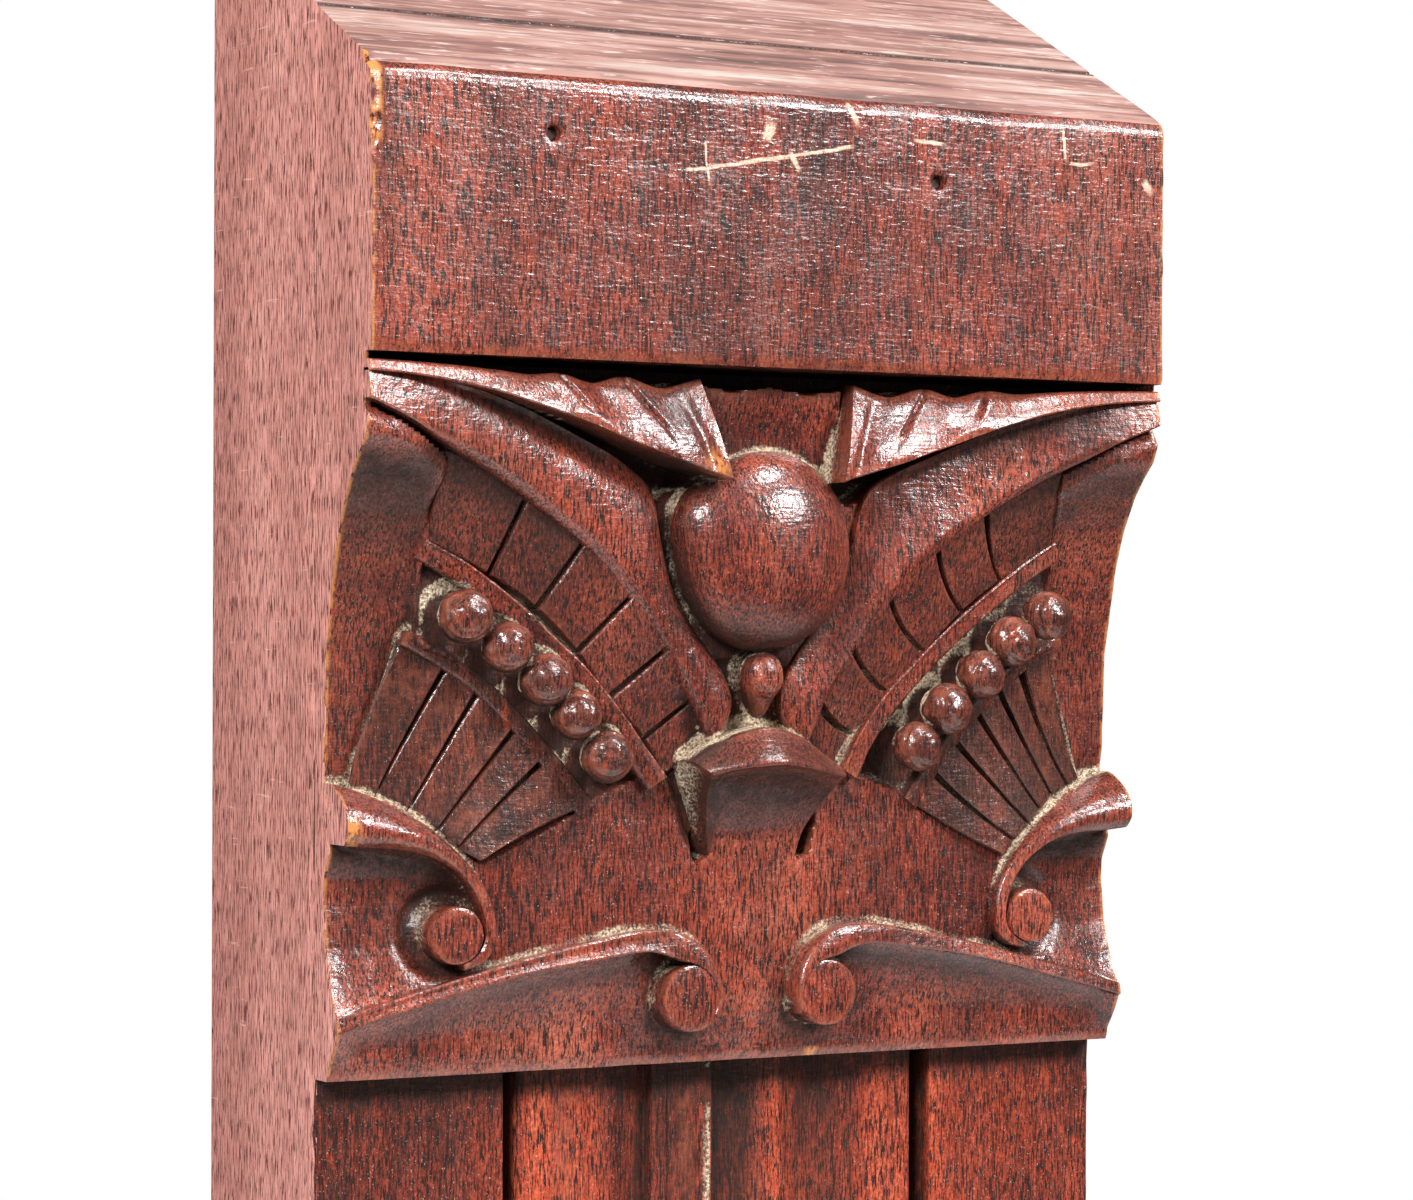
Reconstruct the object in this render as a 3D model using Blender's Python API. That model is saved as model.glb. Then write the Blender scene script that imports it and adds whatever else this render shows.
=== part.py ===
"""Head of a carved mahogany pilaster: back post, carved capital block with its
seated ornaments, moulded centre strip and nails.

Metres, +Z up, front towards -Y.  The origin is the middle of the sawn foot.
Outlines of the carving are written in millimetres as (across, up), where across
is the distance from the centre line and up is the height above the lower edge of
the capital.  Depths are millimetres in front of the face of the post.
"""
import math

import bmesh
import bpy
from mathutils import Matrix, Vector

MM = 0.001
GAP = 0.3                      # joint clearance

WIDTH = 200.0                  # post, capital and cap are all this wide
POST_DEPTH = 58.0
CAPITAL_BASE = 190.0           # sawn foot to the lower edge of the capital
CAP_UNDERSIDE = 153.0          # up from the lower edge of the capital
CAP_FRONT_TOP = 213.0
CAP_PROJECTION = 29.0
TOP_SLOPE = math.tan(math.radians(28.0))

CHANNEL_WIDTH = 110.0          # plough in the face of the post
CHANNEL_DEPTH = 14.0
STRIP_WIDTH = 102.0
STRIP_TOP = 10.0               # the strip runs this far up behind the capital
CHANNEL_TOP = 12.0

BALL_CENTRE = (0.0, 16.5, 113.4)          # across, depth, up
BALL_RADII = (21.0, 12.5, 22.3)
BUD_CENTRE = (0.0, 16.5, 85.2)
BUD_RADII = (4.6, 4.6, 5.0)
BEAD_RADIUS = 5.5
BEAD_DEPTH = 17.0
BEAD_PLACES = ((74.6, 99.4), (65.0, 93.2), (56.2, 86.0), (47.9, 77.9), (39.9, 68.9))
EYE_SIDES = 28

NAIL_RADIUS = 1.2
NAIL_HOLE_RADIUS = 1.6
NAIL_SUNK = 2.0
NAIL_LENGTH = 50.0
NAIL_HOLE_END = 54.0
CAP_NAILS = {"cap_nail_left": (-58.0, 200.4), "cap_nail_right": (38.5, 195.9)}
GROOVE_NAIL_PLACE = (53.0, -13.6)
GROOVE_NAIL_RADIUS = 1.5

# Bottom to top: how far the ground of the capital stands in front of the post.
GROUND_PROFILE = (
    (7.5, 0.0), (8.5, 4.0), (9.0, 20.0), (9.0, 75.0), (10.0, 95.0),
    (12.5, 112.0), (14.5, 130.0), (15.0, CAP_UNDERSIDE),
)

# Left to right: how far the moulded strip lies behind the face of the post.
STRIP_PROFILE = (
    (-51.0, 2.7), (-48.5, 1.1), (-44.0, 0.4), (-36.0, 0.4), (-27.0, 1.4), (-20.0, 4.0),
    (-17.5, 4.5), (-13.2, 1.9), (-12.6, 1.6), (-2.6, 1.6), (-2.4, 4.8), (2.0, 5.2),
    (7.0, 4.2), (12.5, 1.5), (15.0, 1.3), (20.0, 3.2), (28.5, 4.5), (36.0, 2.8),
    (44.0, 0.9), (48.5, 0.7), (51.0, 2.7),
)

# Edges of the carving on the right-hand half.
FLAP_TOP = ((100.0, 149.0), (62.0, 149.0), (54.0, 149.4), (46.0, 148.0), (38.5, 149.4),
            (29.0, 147.8), (19.8, 149.4))
FLAP_INNER = ((18.6, 144.0), (16.2, 136.0), (14.3, 129.8))
FLAP_UNDER = ((20.0, 131.9), (30.0, 135.4), (40.0, 138.6), (50.0, 141.2), (60.0, 143.2),
              (70.0, 145.0), (80.0, 146.5), (100.0, 148.0))
BAND_RIDGE = ((100.0, 146.6), (90.0, 145.8), (80.0, 144.3), (70.0, 142.4), (60.0, 139.9),
              (50.0, 136.8), (40.0, 132.7), (33.0, 129.0), (28.0, 124.0))
BAND_INNER = ((23.0, 112.0), (20.5, 103.0), (14.5, 94.0), (8.0, 90.0), (6.0, 85.0),
              (5.4, 79.5), (7.5, 74.5), (11.0, 72.6))
BAND_LOWER = ((15.0, 77.0), (20.0, 84.3), (25.0, 91.6), (30.0, 98.7), (35.0, 104.6),
              (40.0, 109.6), (50.0, 118.2), (60.0, 125.4), (70.0, 131.4), (80.0, 136.3),
              (90.0, 139.8), (100.0, 142.0))
RAIL_UPPER = ((82.0, 115.4), (70.0, 108.2), (60.0, 100.6), (47.5, 90.2), (37.5, 79.6),
              (30.0, 70.5), (25.5, 62.8))
RAIL_LOWER = ((81.5, 92.0), (74.0, 88.6), (66.0, 82.6), (58.5, 75.4), (51.0, 67.0),
              (45.0, 58.8), (41.0, 56.0))
RAIL_WIDTH = 3.6
SCROLL_OUTER = ((100.0, 62.8), (90.0, 59.8), (80.0, 54.4), (72.0, 47.6), (66.5, 40.5),
                (63.8, 33.0), (64.6, 27.4), (67.6, 24.4))
SCROLL_INNER = ((66.4, 31.0), (67.6, 37.6), (72.0, 43.8), (80.0, 48.0), (90.0, 49.2),
                (100.0, 50.0))
SCROLL_EYE = (73.2, 30.4, 6.2)
FOOT_OUTER = ((100.0, 13.6), (80.0, 19.0), (60.0, 24.2), (40.0, 28.2), (26.0, 30.2),
              (18.0, 28.6), (12.6, 23.8), (9.9, 17.0))
FOOT_INNER = ((22.6, 23.4), (26.0, 25.4), (32.0, 25.6), (40.0, 24.5), (60.0, 21.2),
              (80.0, 16.2), (100.0, 11.0))
FOOT_EYE = (17.2, 15.0, 7.4)
BRICK_FIELD = RAIL_UPPER + BAND_LOWER[:10]
LEAF_FIELD = RAIL_LOWER + ((66.0, 43.0), (75.0, 49.0), (91.5, 59.0))
SHELL_OUTLINE = ((-19.5, 64.6), (-10.5, 70.0), (0.0, 72.6), (10.5, 70.0), (19.5, 64.6),
                 (15.5, 57.5), (12.4, 52.0), (10.0, 46.0), (0.0, 43.5), (-10.0, 46.0),
                 (-12.4, 52.0), (-15.5, 57.5))
SHELL_SIDE = ((5.0, 75.0), (27.0, 75.0), (27.0, 68.0), (20.0, 60.0), (14.0, 52.0),
              (11.0, 42.0), (5.0, 42.0))

# Depth of the front of each ornament in front of the post.
FLAP_FRONT = 29.0
FLAP_BACK = 22.0
BAND_FRONT = 24.0
BRICK_FRONT = 14.5
UPPER_RAIL_FRONT = 14.0
LOWER_RAIL_FRONT = 13.0
LEAF_FRONT = 11.5
SCROLL_FRONT = 17.0
FOOT_FRONT = 17.5
BEHIND_GROUND = 3.0            # cutters and blanks start this far in front of the post

VARNISHED = (0.115, 0.026, 0.014, 1.0)
DARK_VARNISHED = (0.078, 0.020, 0.013, 1.0)
BARE_MAHOGANY = (0.420, 0.200, 0.140, 1.0)
OLD_IRON = (0.045, 0.038, 0.034, 1.0)

FACING = {
    # local (x, y, z) -> across, up, forward
    "front": Matrix(((1, 0, 0, 0), (0, 0, -1, 0), (0, 1, 0, 0), (0, 0, 0, 1))),
    # local (x, y, z) -> backward, up, across
    "side": Matrix(((0, 0, 1, 0), (1, 0, 0, 0), (0, 1, 0, 0), (0, 0, 0, 1))),
    # local (x, y, z) -> across, backward, up
    "end": Matrix.Identity(4),
}
# The post's face stands behind the middle of the whole depth.
FACE_Y = (CAP_PROJECTION - POST_DEPTH) / 2.0
TO_WORLD = Matrix.Translation((0.0, FACE_Y * MM, CAPITAL_BASE * MM))


def clear_scene():
    """Remove every object and the meshes, curves and materials left behind."""
    for item in list(bpy.data.objects):
        bpy.data.objects.remove(item, do_unlink=True)
    for store in (bpy.data.meshes, bpy.data.curves, bpy.data.materials):
        for item in list(store):
            store.remove(item)
    for group in list(bpy.data.collections):
        bpy.data.collections.remove(group)


def new_collection(name):
    """A new collection linked to the scene."""
    group = bpy.data.collections.new(name)
    bpy.context.scene.collection.children.link(group)
    return group


def finish_of(name, colour, roughness, metallic=0.0):
    """A Principled material."""
    material = bpy.data.materials.new(name)
    material.use_nodes = True
    shader = material.node_tree.nodes["Principled BSDF"]
    shader.inputs["Base Color"].default_value = colour
    shader.inputs["Roughness"].default_value = roughness
    shader.inputs["Metallic"].default_value = metallic
    material.diffuse_color = colour
    return material


def smooth_path(points, steps=3):
    """Catmull-Rom points through an open row of (x, y) points."""
    row = [Vector(p) for p in points]
    ends = [row[0] * 2 - row[1]] + row + [row[-1] * 2 - row[-2]]
    path = []
    for before, start, stop, after in zip(ends, ends[1:], ends[2:], ends[3:]):
        for step in range(steps):
            t = step / steps
            path.append(0.5 * (2 * start + (stop - before) * t
                               + (2 * before - 5 * start + 4 * stop - after) * t ** 2
                               + (3 * start - before - 3 * stop + after) * t ** 3))
    path.append(row[-1])
    return [(p.x, p.y) for p in path]


def mirrored(points, side):
    """The outline on one side of the centre line: +1 right, -1 left."""
    return [(side * across, up) for across, up in points]


def arc(centre, radius, start, stop, sides):
    """Points on a circle from one angle to another, in degrees."""
    turn = math.radians(stop - start) / sides
    first = math.radians(start)
    return [(centre[0] + radius * math.cos(first + turn * k),
             centre[1] + radius * math.sin(first + turn * k)) for k in range(sides + 1)]


def widened(path, width):
    """An open path turned into a closed ribbon outline of constant width."""
    row = [Vector(p) for p in path]
    left, right = [], []
    for index, point in enumerate(row):
        ahead = row[min(index + 1, len(row) - 1)] - row[max(index - 1, 0)]
        normal = Vector((-ahead.y, ahead.x)).normalized() * width / 2
        left.append(tuple(point + normal))
        right.append(tuple(point - normal))
    return left + right[::-1]


def grown(outline, margin):
    """A closed outline pushed outwards by a small margin."""
    row = [Vector(p) for p in outline]
    area = sum(a.cross(b) for a, b in zip(row, row[1:] + row[:1]))
    out = margin if area > 0 else -margin
    result = []
    for before, point, after in zip(row[-1:] + row[:-1], row, row[1:] + row[:1]):
        first = (point - before).normalized()
        second = (after - point).normalized()
        along = (first + second).normalized()
        corner = max(0.35, along.dot(first))
        result.append(tuple(point + Vector((along.y, -along.x)) * out / corner))
    return result


def mesh_object(name, mesh, group, material=None):
    """A new object in a collection."""
    item = bpy.data.objects.new(name, mesh)
    group.objects.link(item)
    if material:
        mesh.materials.clear()
        mesh.materials.append(material)
    return item


def tidy_mesh(mesh, sharp_angle=35.0):
    """Weld loose caps, point the faces out and shade round parts smooth."""
    work = bmesh.new()
    work.from_mesh(mesh)
    bmesh.ops.remove_doubles(work, verts=work.verts, dist=0.00001)
    bmesh.ops.recalc_face_normals(work, faces=work.faces)
    work.to_mesh(mesh)
    work.free()
    mesh.shade_smooth()
    mesh.set_sharp_from_angle(angle=math.radians(sharp_angle))


def extruded(name, outline, span, facing, group, material=None):
    """A closed millimetre outline extruded between two heights of its own axis."""
    low, high = span
    curve = bpy.data.curves.new(name, "CURVE")
    curve.dimensions = "2D"
    curve.fill_mode = "BOTH"
    curve.extrude = (high - low) / 2.0 * MM
    spline = curve.splines.new("POLY")
    spline.points.add(len(outline) - 1)
    for point, (x, y) in zip(spline.points, outline):
        point.co = (x * MM, y * MM, 0.0, 1.0)
    spline.use_cyclic_u = True
    guide = bpy.data.objects.new(name + "_outline", curve)
    group.objects.link(guide)
    place = TO_WORLD @ FACING[facing] @ Matrix.Translation((0, 0, (low + high) / 2.0 * MM))
    guide.matrix_world = place
    graph = bpy.context.evaluated_depsgraph_get()
    mesh = bpy.data.meshes.new_from_object(guide.evaluated_get(graph))
    mesh.name = name
    mesh.transform(place)
    bpy.data.objects.remove(guide, do_unlink=True)
    bpy.data.curves.remove(curve)
    tidy_mesh(mesh)
    return mesh_object(name, mesh, group, material)


def ellipsoid(name, centre, radii, group, material=None, segments=32, rings=18):
    """A UV sphere stretched to three radii, at (across, depth, up)."""
    mesh = bpy.data.meshes.new(name)
    work = bmesh.new()
    bmesh.ops.create_uvsphere(work, u_segments=segments, v_segments=rings, radius=MM)
    work.to_mesh(mesh)
    work.free()
    across, depth, up = centre
    place = Matrix.Translation((across * MM, -depth * MM, up * MM))
    mesh.transform(TO_WORLD @ place @ Matrix.Diagonal((*radii, 1.0)))
    tidy_mesh(mesh)
    return mesh_object(name, mesh, group, material)


def pin(name, place, radius, front, back, group, material=None, sides=16):
    """A round bar along the depth, from one depth to another."""
    across, up = place
    return extruded(name, arc(place, radius, 0, 360, sides)[:-1], (-back, front), "front",
                    group, material)


def carve(target, tool, operation="DIFFERENCE"):
    """Keep a live Boolean between two solids."""
    step = target.modifiers.new(operation.lower() + "_" + tool.name, "BOOLEAN")
    step.operation = operation
    step.object = tool
    tool.hide_render = True
    tool.display_type = "WIRE"


def ground_outline(clearance=0.0):
    """Side outline of the coved ground, from the back face to the cap."""
    front = [(-depth - clearance, up) for depth, up in GROUND_PROFILE]
    return [(0.0, 0.0 - clearance)] + front + [(0.0, CAP_UNDERSIDE)]


def top_height(depth):
    """Height of the sloped top at a depth in front of the post."""
    return CAP_FRONT_TOP + (CAP_PROJECTION - depth) * TOP_SLOPE


def build_post(parts, tools):
    """The thick back board with the plough for the strip and the nail holes."""
    side = [(0.0, -CAPITAL_BASE), (POST_DEPTH, -CAPITAL_BASE),
            (POST_DEPTH, top_height(-POST_DEPTH)), (0.0, top_height(0.0))]
    post = extruded("back_post", side, (-WIDTH / 2, WIDTH / 2), "side", parts,
                    finish_of("post_bare_mahogany", BARE_MAHOGANY, 0.72))
    half = CHANNEL_WIDTH / 2
    channel = [(-half, -1.0), (half, -1.0), (half, CHANNEL_DEPTH), (-half, CHANNEL_DEPTH)]
    carve(post, extruded("channel_cutter", channel, (-CAPITAL_BASE - 1.0, CHANNEL_TOP),
                         "end", tools))
    for name, place in CAP_NAILS.items():
        carve(post, pin(name + "_post_hole", place, NAIL_HOLE_RADIUS, 1.0,
                        NAIL_HOLE_END - CAP_PROJECTION, tools))
    carve(post, pin("groove_nail_hole", GROOVE_NAIL_PLACE, GROOVE_NAIL_RADIUS + GAP,
                    -CHANNEL_DEPTH + 1.0, CHANNEL_DEPTH + 26.0, tools))
    return post


def build_strip(parts):
    """The moulded strip in the channel."""
    floor = CHANNEL_DEPTH - GAP
    half = STRIP_WIDTH / 2
    outline = list(STRIP_PROFILE) + [(half, floor), (-half, floor)]
    return extruded("centre_strip", outline, (-CAPITAL_BASE, STRIP_TOP), "end", parts,
                    finish_of("strip_varnish", VARNISHED, 0.38))


def build_capital(parts, tools):
    """The carved block: sloped top, plain cap, and the coved ground below it."""
    outline = [(-GAP, 0.0)] + [(-depth, up) for depth, up in GROUND_PROFILE]
    outline += [(-CAP_PROJECTION, CAP_UNDERSIDE), (-CAP_PROJECTION, CAP_FRONT_TOP),
                (-GAP, top_height(GAP))]
    block = extruded("capital_block", outline, (-WIDTH / 2, WIDTH / 2), "side", parts,
                     finish_of("capital_varnish", VARNISHED, 0.34))
    for name, place in CAP_NAILS.items():
        carve(block, pin(name + "_block_hole", place, NAIL_HOLE_RADIUS,
                         CAP_PROJECTION + 1.0, 1.0, tools))
    return block


def build_nails(parts):
    """Two nails through the cap into the post, and one in the right-hand groove."""
    iron = finish_of("cut_nail_iron", OLD_IRON, 0.6, 0.8)
    for name, place in CAP_NAILS.items():
        front = CAP_PROJECTION - NAIL_SUNK
        pin(name, place, NAIL_RADIUS, front, NAIL_LENGTH - front, parts, iron, 12)
    pin("groove_nail", GROOVE_NAIL_PLACE, GROOVE_NAIL_RADIUS, -CHANNEL_DEPTH + 2.5,
        CHANNEL_DEPTH + 25.0, parts, iron, 12)


def volute(outer, inner, eye):
    """Outline of a ribbon that curls round into a flat round eye."""
    across, up, radius = eye
    start = math.degrees(math.atan2(outer[-1][1] - up, outer[-1][0] - across))
    stop = math.degrees(math.atan2(inner[0][1] - up, inner[0][0] - across))
    while stop < start + 90.0:
        stop += 360.0
    round_eye = arc((across, up), radius, start, stop, EYE_SIDES)
    return smooth_path(outer) + round_eye[1:-1] + smooth_path(inner)


def ornament_shapes():
    """Name, right-hand outline, front depth and back depth of each paired ornament."""
    flap = smooth_path(FLAP_TOP, 2) + smooth_path(FLAP_INNER, 2) + smooth_path(FLAP_UNDER, 2)
    band = smooth_path(BAND_RIDGE, 2) + smooth_path(BAND_INNER, 3) + smooth_path(BAND_LOWER, 2)
    scroll = volute(SCROLL_OUTER, SCROLL_INNER, SCROLL_EYE)
    foot = volute(FOOT_OUTER, FOOT_INNER, FOOT_EYE)
    return (
        ("wing_flap", flap, FLAP_FRONT, FLAP_BACK),
        ("v_band", band, BAND_FRONT, BEHIND_GROUND),
        ("upper_rail", widened(smooth_path(RAIL_UPPER), RAIL_WIDTH), UPPER_RAIL_FRONT,
         BEHIND_GROUND),
        ("lower_rail", widened(smooth_path(RAIL_LOWER), RAIL_WIDTH), LOWER_RAIL_FRONT,
         BEHIND_GROUND),
        ("side_scroll", scroll, SCROLL_FRONT, BEHIND_GROUND),
        ("foot_scroll", foot, FOOT_FRONT, BEHIND_GROUND),
        ("brick_course", BRICK_FIELD, BRICK_FRONT, BEHIND_GROUND),
        ("leaf_fan", LEAF_FIELD, LEAF_FRONT, BEHIND_GROUND),
    )


# Which earlier ornaments each later one is fitted round.
FITTED_ROUND = {
    "brick_course": ("v_band", "upper_rail"),
    "leaf_fan": ("lower_rail", "side_scroll"),
}


def build_paired_ornaments(parts, tools, seat, ball_room, bud_room):
    """Flaps, bands, rails, scrolls, brick courses and leaf fans, left and right."""
    dark = finish_of("carving_dark_varnish", DARK_VARNISHED, 0.36)
    bright = finish_of("carving_varnish", VARNISHED, 0.30)
    for side, suffix in ((-1, "left"), (1, "right")):
        rooms = {}
        for kind, outline, front, back in ornament_shapes():
            name = kind + "_" + suffix
            shape = mirrored(outline, side)
            material = dark if kind in ("brick_course", "leaf_fan") else bright
            piece = extruded(name, shape, (back, front), "front", parts, material)
            rooms[kind] = (name, shape)
            if back == BEHIND_GROUND:
                carve(piece, seat)
            for neighbour in FITTED_ROUND.get(kind, ()):
                near_name, near_shape = rooms[neighbour]
                room = extruded(name + "_room_for_" + near_name, grown(near_shape, GAP),
                                (-1.0, 40.0), "front", tools)
                carve(piece, room)
            if kind in ("wing_flap", "v_band"):
                carve(piece, ball_room)
            if kind == "v_band":
                carve(piece, bud_room)


def build_centre_ornaments(parts, tools, seat):
    """Ball boss, bud and shell on the centre line; returns the room they need."""
    bright = finish_of("boss_varnish", VARNISHED, 0.28)
    ball = ellipsoid("ball_boss", BALL_CENTRE, BALL_RADII, parts, bright)
    carve(ball, seat)
    bud = ellipsoid("bud_drop", BUD_CENTRE, BUD_RADII, parts, bright, 16, 10)
    carve(bud, seat)
    shell = extruded("keystone_shell", smooth_path(SHELL_OUTLINE + SHELL_OUTLINE[:1])[:-1],
                     (BEHIND_GROUND, 30.0), "front", parts, bright)
    side = [(-depth, up) for depth, up in SHELL_SIDE]
    carve(shell, extruded("shell_side_cutter", side, (-30.0, 30.0), "side", tools),
          "INTERSECT")
    carve(shell, seat)
    ball_room = ellipsoid("ball_room", BALL_CENTRE, [r + GAP for r in BALL_RADII], tools)
    bud_room = ellipsoid("bud_room", BUD_CENTRE, [r + GAP for r in BUD_RADII], tools)
    return ball_room, bud_room


def build_beads(parts, seat):
    """Five beads in the channel between the rails on each side."""
    material = finish_of("bead_dark_varnish", DARK_VARNISHED, 0.30)
    for side, suffix in ((-1, "left"), (1, "right")):
        for number, (across, up) in enumerate(BEAD_PLACES, 1):
            centre = (side * across, BEAD_DEPTH, up)
            bead = ellipsoid(f"bead_{suffix}_{number}", centre, [BEAD_RADIUS] * 3, parts,
                             material, 16, 10)
            carve(bead, seat)


def build():
    """Build every node of the pilaster head."""
    clear_scene()
    parts = new_collection("carved_pilaster_head")
    tools = new_collection("cutters")
    build_post(parts, tools)
    build_strip(parts)
    build_capital(parts, tools)
    build_nails(parts)
    seat = extruded("ground_seat", ground_outline(GAP), (-WIDTH / 2 - 1.0, WIDTH / 2 + 1.0),
                    "side", tools)
    ball_room, bud_room = build_centre_ornaments(parts, tools, seat)
    build_paired_ornaments(parts, tools, seat, ball_room, bud_room)
    build_beads(parts, seat)


build()
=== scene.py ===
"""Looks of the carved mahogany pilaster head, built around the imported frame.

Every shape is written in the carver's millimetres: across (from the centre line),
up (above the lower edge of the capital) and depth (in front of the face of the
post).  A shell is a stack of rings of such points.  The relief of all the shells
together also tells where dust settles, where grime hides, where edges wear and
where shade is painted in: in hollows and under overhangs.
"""
import math

import bmesh
import bpy
import numpy as np
from mathutils import Matrix, Vector


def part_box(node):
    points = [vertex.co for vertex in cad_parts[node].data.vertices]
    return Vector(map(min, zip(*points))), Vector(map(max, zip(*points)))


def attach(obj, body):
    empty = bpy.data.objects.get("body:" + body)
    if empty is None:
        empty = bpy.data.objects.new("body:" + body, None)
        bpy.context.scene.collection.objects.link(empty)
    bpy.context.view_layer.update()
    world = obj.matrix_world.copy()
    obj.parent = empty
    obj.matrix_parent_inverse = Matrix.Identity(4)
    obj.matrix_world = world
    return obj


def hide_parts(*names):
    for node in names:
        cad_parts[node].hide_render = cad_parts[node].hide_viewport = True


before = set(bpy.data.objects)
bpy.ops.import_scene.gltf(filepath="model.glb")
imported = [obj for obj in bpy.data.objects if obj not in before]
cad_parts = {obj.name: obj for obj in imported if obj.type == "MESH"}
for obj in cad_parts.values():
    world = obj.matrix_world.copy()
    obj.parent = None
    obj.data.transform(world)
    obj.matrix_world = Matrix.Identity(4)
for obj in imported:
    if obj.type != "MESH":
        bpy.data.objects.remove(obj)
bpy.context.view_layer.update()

MM = 0.001
FACE_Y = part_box("back_post")[0].y            # depth 0, the face of the post
BASE_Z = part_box("capital_block")[0].z        # up 0, the lower edge of the capital
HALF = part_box("capital_block")[1].x / MM     # half the width
FOOT_UP = -BASE_Z / MM                       # the sawn foot
CAP_DEPTH = (FACE_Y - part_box("capital_block")[0].y) / MM
BACK_DEPTH = (FACE_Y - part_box("back_post")[1].y) / MM
TOP_SLOPE = math.tan(math.radians(28.0))
CAP_TOP = 213.0
CAP_UNDER = 153.0
SEAM = 0.3                                   # half-open glue line behind the capital
PLOUGH_HALF = 55.0                           # half the width of the plough in the post
PLOUGH_DEPTH = 14.0
PLOUGH_TOP = 12.0                            # its end, hidden behind the capital
STRIP_HALF = 51.0
STRIP_BACK = 13.7                            # the strip stops a joint short of the plough
SIDES = ((-1, "left"), (1, "right"))

CAP_NAILS = ((-58.0, 200.4), (38.5, 195.9))
BALL = (0.0, 16.5, 113.4)
BALL_RADII = (21.0, 12.5, 22.3)
BEADS = {"left": ((73.5, 98.2), (63.6, 91.9), (54.3, 84.9), (46.8, 77.4), (39.2, 68.3)),
         "right": ((74.9, 99.4), (65.1, 93.4), (56.9, 85.8), (47.9, 78.1), (40.2, 69.7))}
BEAD_DEPTH = 18.0
BEAD_RADIUS = 5.5
SCROLL_EYE = (73.2, 30.4, 6.2)               # across, up and radius
FOOT_EYE = (17.2, 15.0, 7.4)
SCROLL_FOOT = 3.2                            # depth where the scrolls and eyes end, sunk in


# ---------------------------------------------------------------- numbers

def ramp(value, low, high):
    """Smooth step from 0 at low to 1 at high."""
    t = np.clip((value - low) / (high - low), 0.0, 1.0)
    return t * t * (3.0 - 2.0 * t)


def profile(value, pairs):
    """Straight interpolation through (value, result) pairs."""
    at, result = zip(*pairs)
    return np.interp(value, at, result)


def lumps(x, y, size, seed):
    """Smooth noise from -1 to 1 with lumps of the given size."""
    grid = np.random.default_rng(seed).uniform(-1.0, 1.0, (61, 61))
    gx, gy = np.asarray(x) / size + 400.0, np.asarray(y) / size + 400.0
    ix, iy = np.floor(gx).astype(int), np.floor(gy).astype(int)
    fx, fy = gx - ix, gy - iy
    fx, fy = fx * fx * (3 - 2 * fx), fy * fy * (3 - 2 * fy)
    low = grid[iy % 61, ix % 61] * (1 - fx) + grid[iy % 61, (ix + 1) % 61] * fx
    high = grid[(iy + 1) % 61, ix % 61] * (1 - fx) + grid[(iy + 1) % 61, (ix + 1) % 61] * fx
    return low * (1 - fy) + high * fy


def spline_at(rows, params):
    """Catmull-Rom rows at parameters from 0 to len(rows) - 1."""
    row = np.asarray(rows, float)
    ends = np.vstack([2 * row[0] - row[1], row, 2 * row[-1] - row[-2]])
    params = np.clip(np.asarray(params, float), 0.0, len(row) - 1.0)
    span = np.minimum(params.astype(int), len(row) - 2)
    t = (params - span)[..., None]
    before, start, stop, after = (ends[span + k] for k in range(4))
    return 0.5 * (2 * start + (stop - before) * t
                  + (2 * before - 5 * start + 4 * stop - after) * t ** 2
                  + (3 * start - before - 3 * stop + after) * t ** 3)


def even_params(rows, columns, spacing):
    """Parameters that step evenly along a spline, measured over some columns."""
    fine = np.linspace(0.0, len(rows) - 1.0, 24 * len(rows))
    path = spline_at(rows, fine)[:, columns]
    along = np.concatenate([[0.0], np.cumsum(np.linalg.norm(np.diff(path, axis=0), axis=1))])
    steps = max(2, int(round(along[-1] / spacing)))
    return np.interp(np.linspace(0.0, along[-1], steps + 1), along, fine)


def cover(outline, x, up, soft):
    """1 inside a closed outline and 0 outside, over a soft edge."""
    points = np.asarray(outline, float)
    nearest = np.full(np.shape(x), 1e9)
    inside = np.zeros(np.shape(x), bool)
    for (ax, ay), (bx, by) in zip(points, np.roll(points, -1, axis=0)):
        dx, dy = bx - ax, by - ay
        t = np.clip(((x - ax) * dx + (up - ay) * dy) / (dx * dx + dy * dy + 1e-12), 0, 1)
        nearest = np.minimum(nearest, np.hypot(x - ax - t * dx, up - ay - t * dy))
        if ay != by:
            crossing = (ay > up) != (by > up)
            inside ^= crossing & (x < (up - ay) * dx / dy + ax)
    return ramp(np.where(inside, nearest, -nearest), -soft / 2, soft / 2)


def cuts(low, high, spacing, fine=()):
    """Rising positions with a coarse spacing, and finer ones in given stretches."""
    at = [low]
    while at[-1] < high - 1e-6:
        step = spacing
        for start, stop, small in fine:
            if start - spacing < at[-1] < stop:
                step = min(step, small)
        at.append(min(high, at[-1] + step))
    if at[-1] - at[-2] < 0.1:
        at.pop(-2)
    return np.array(at)


# ---------------------------------------------------------------- shells

SHELLS = []          # every ring stack in the scene, for the relief map
PIECES = []


class Piece:
    """A named object made of closed shells that rides on the body."""

    def __init__(self, name, nodes, slot):
        self.name, self.nodes, self.slot = name, nodes, slot
        self.shells = []
        PIECES.append(self)

    def add(self, rings, relief=True):
        """Add a shell: rings[n, m] of (across, depth, up), capped at both ends."""
        rings = np.asarray(rings, float)
        self.shells.append(rings)
        if relief:
            SHELLS.append(rings)


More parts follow.
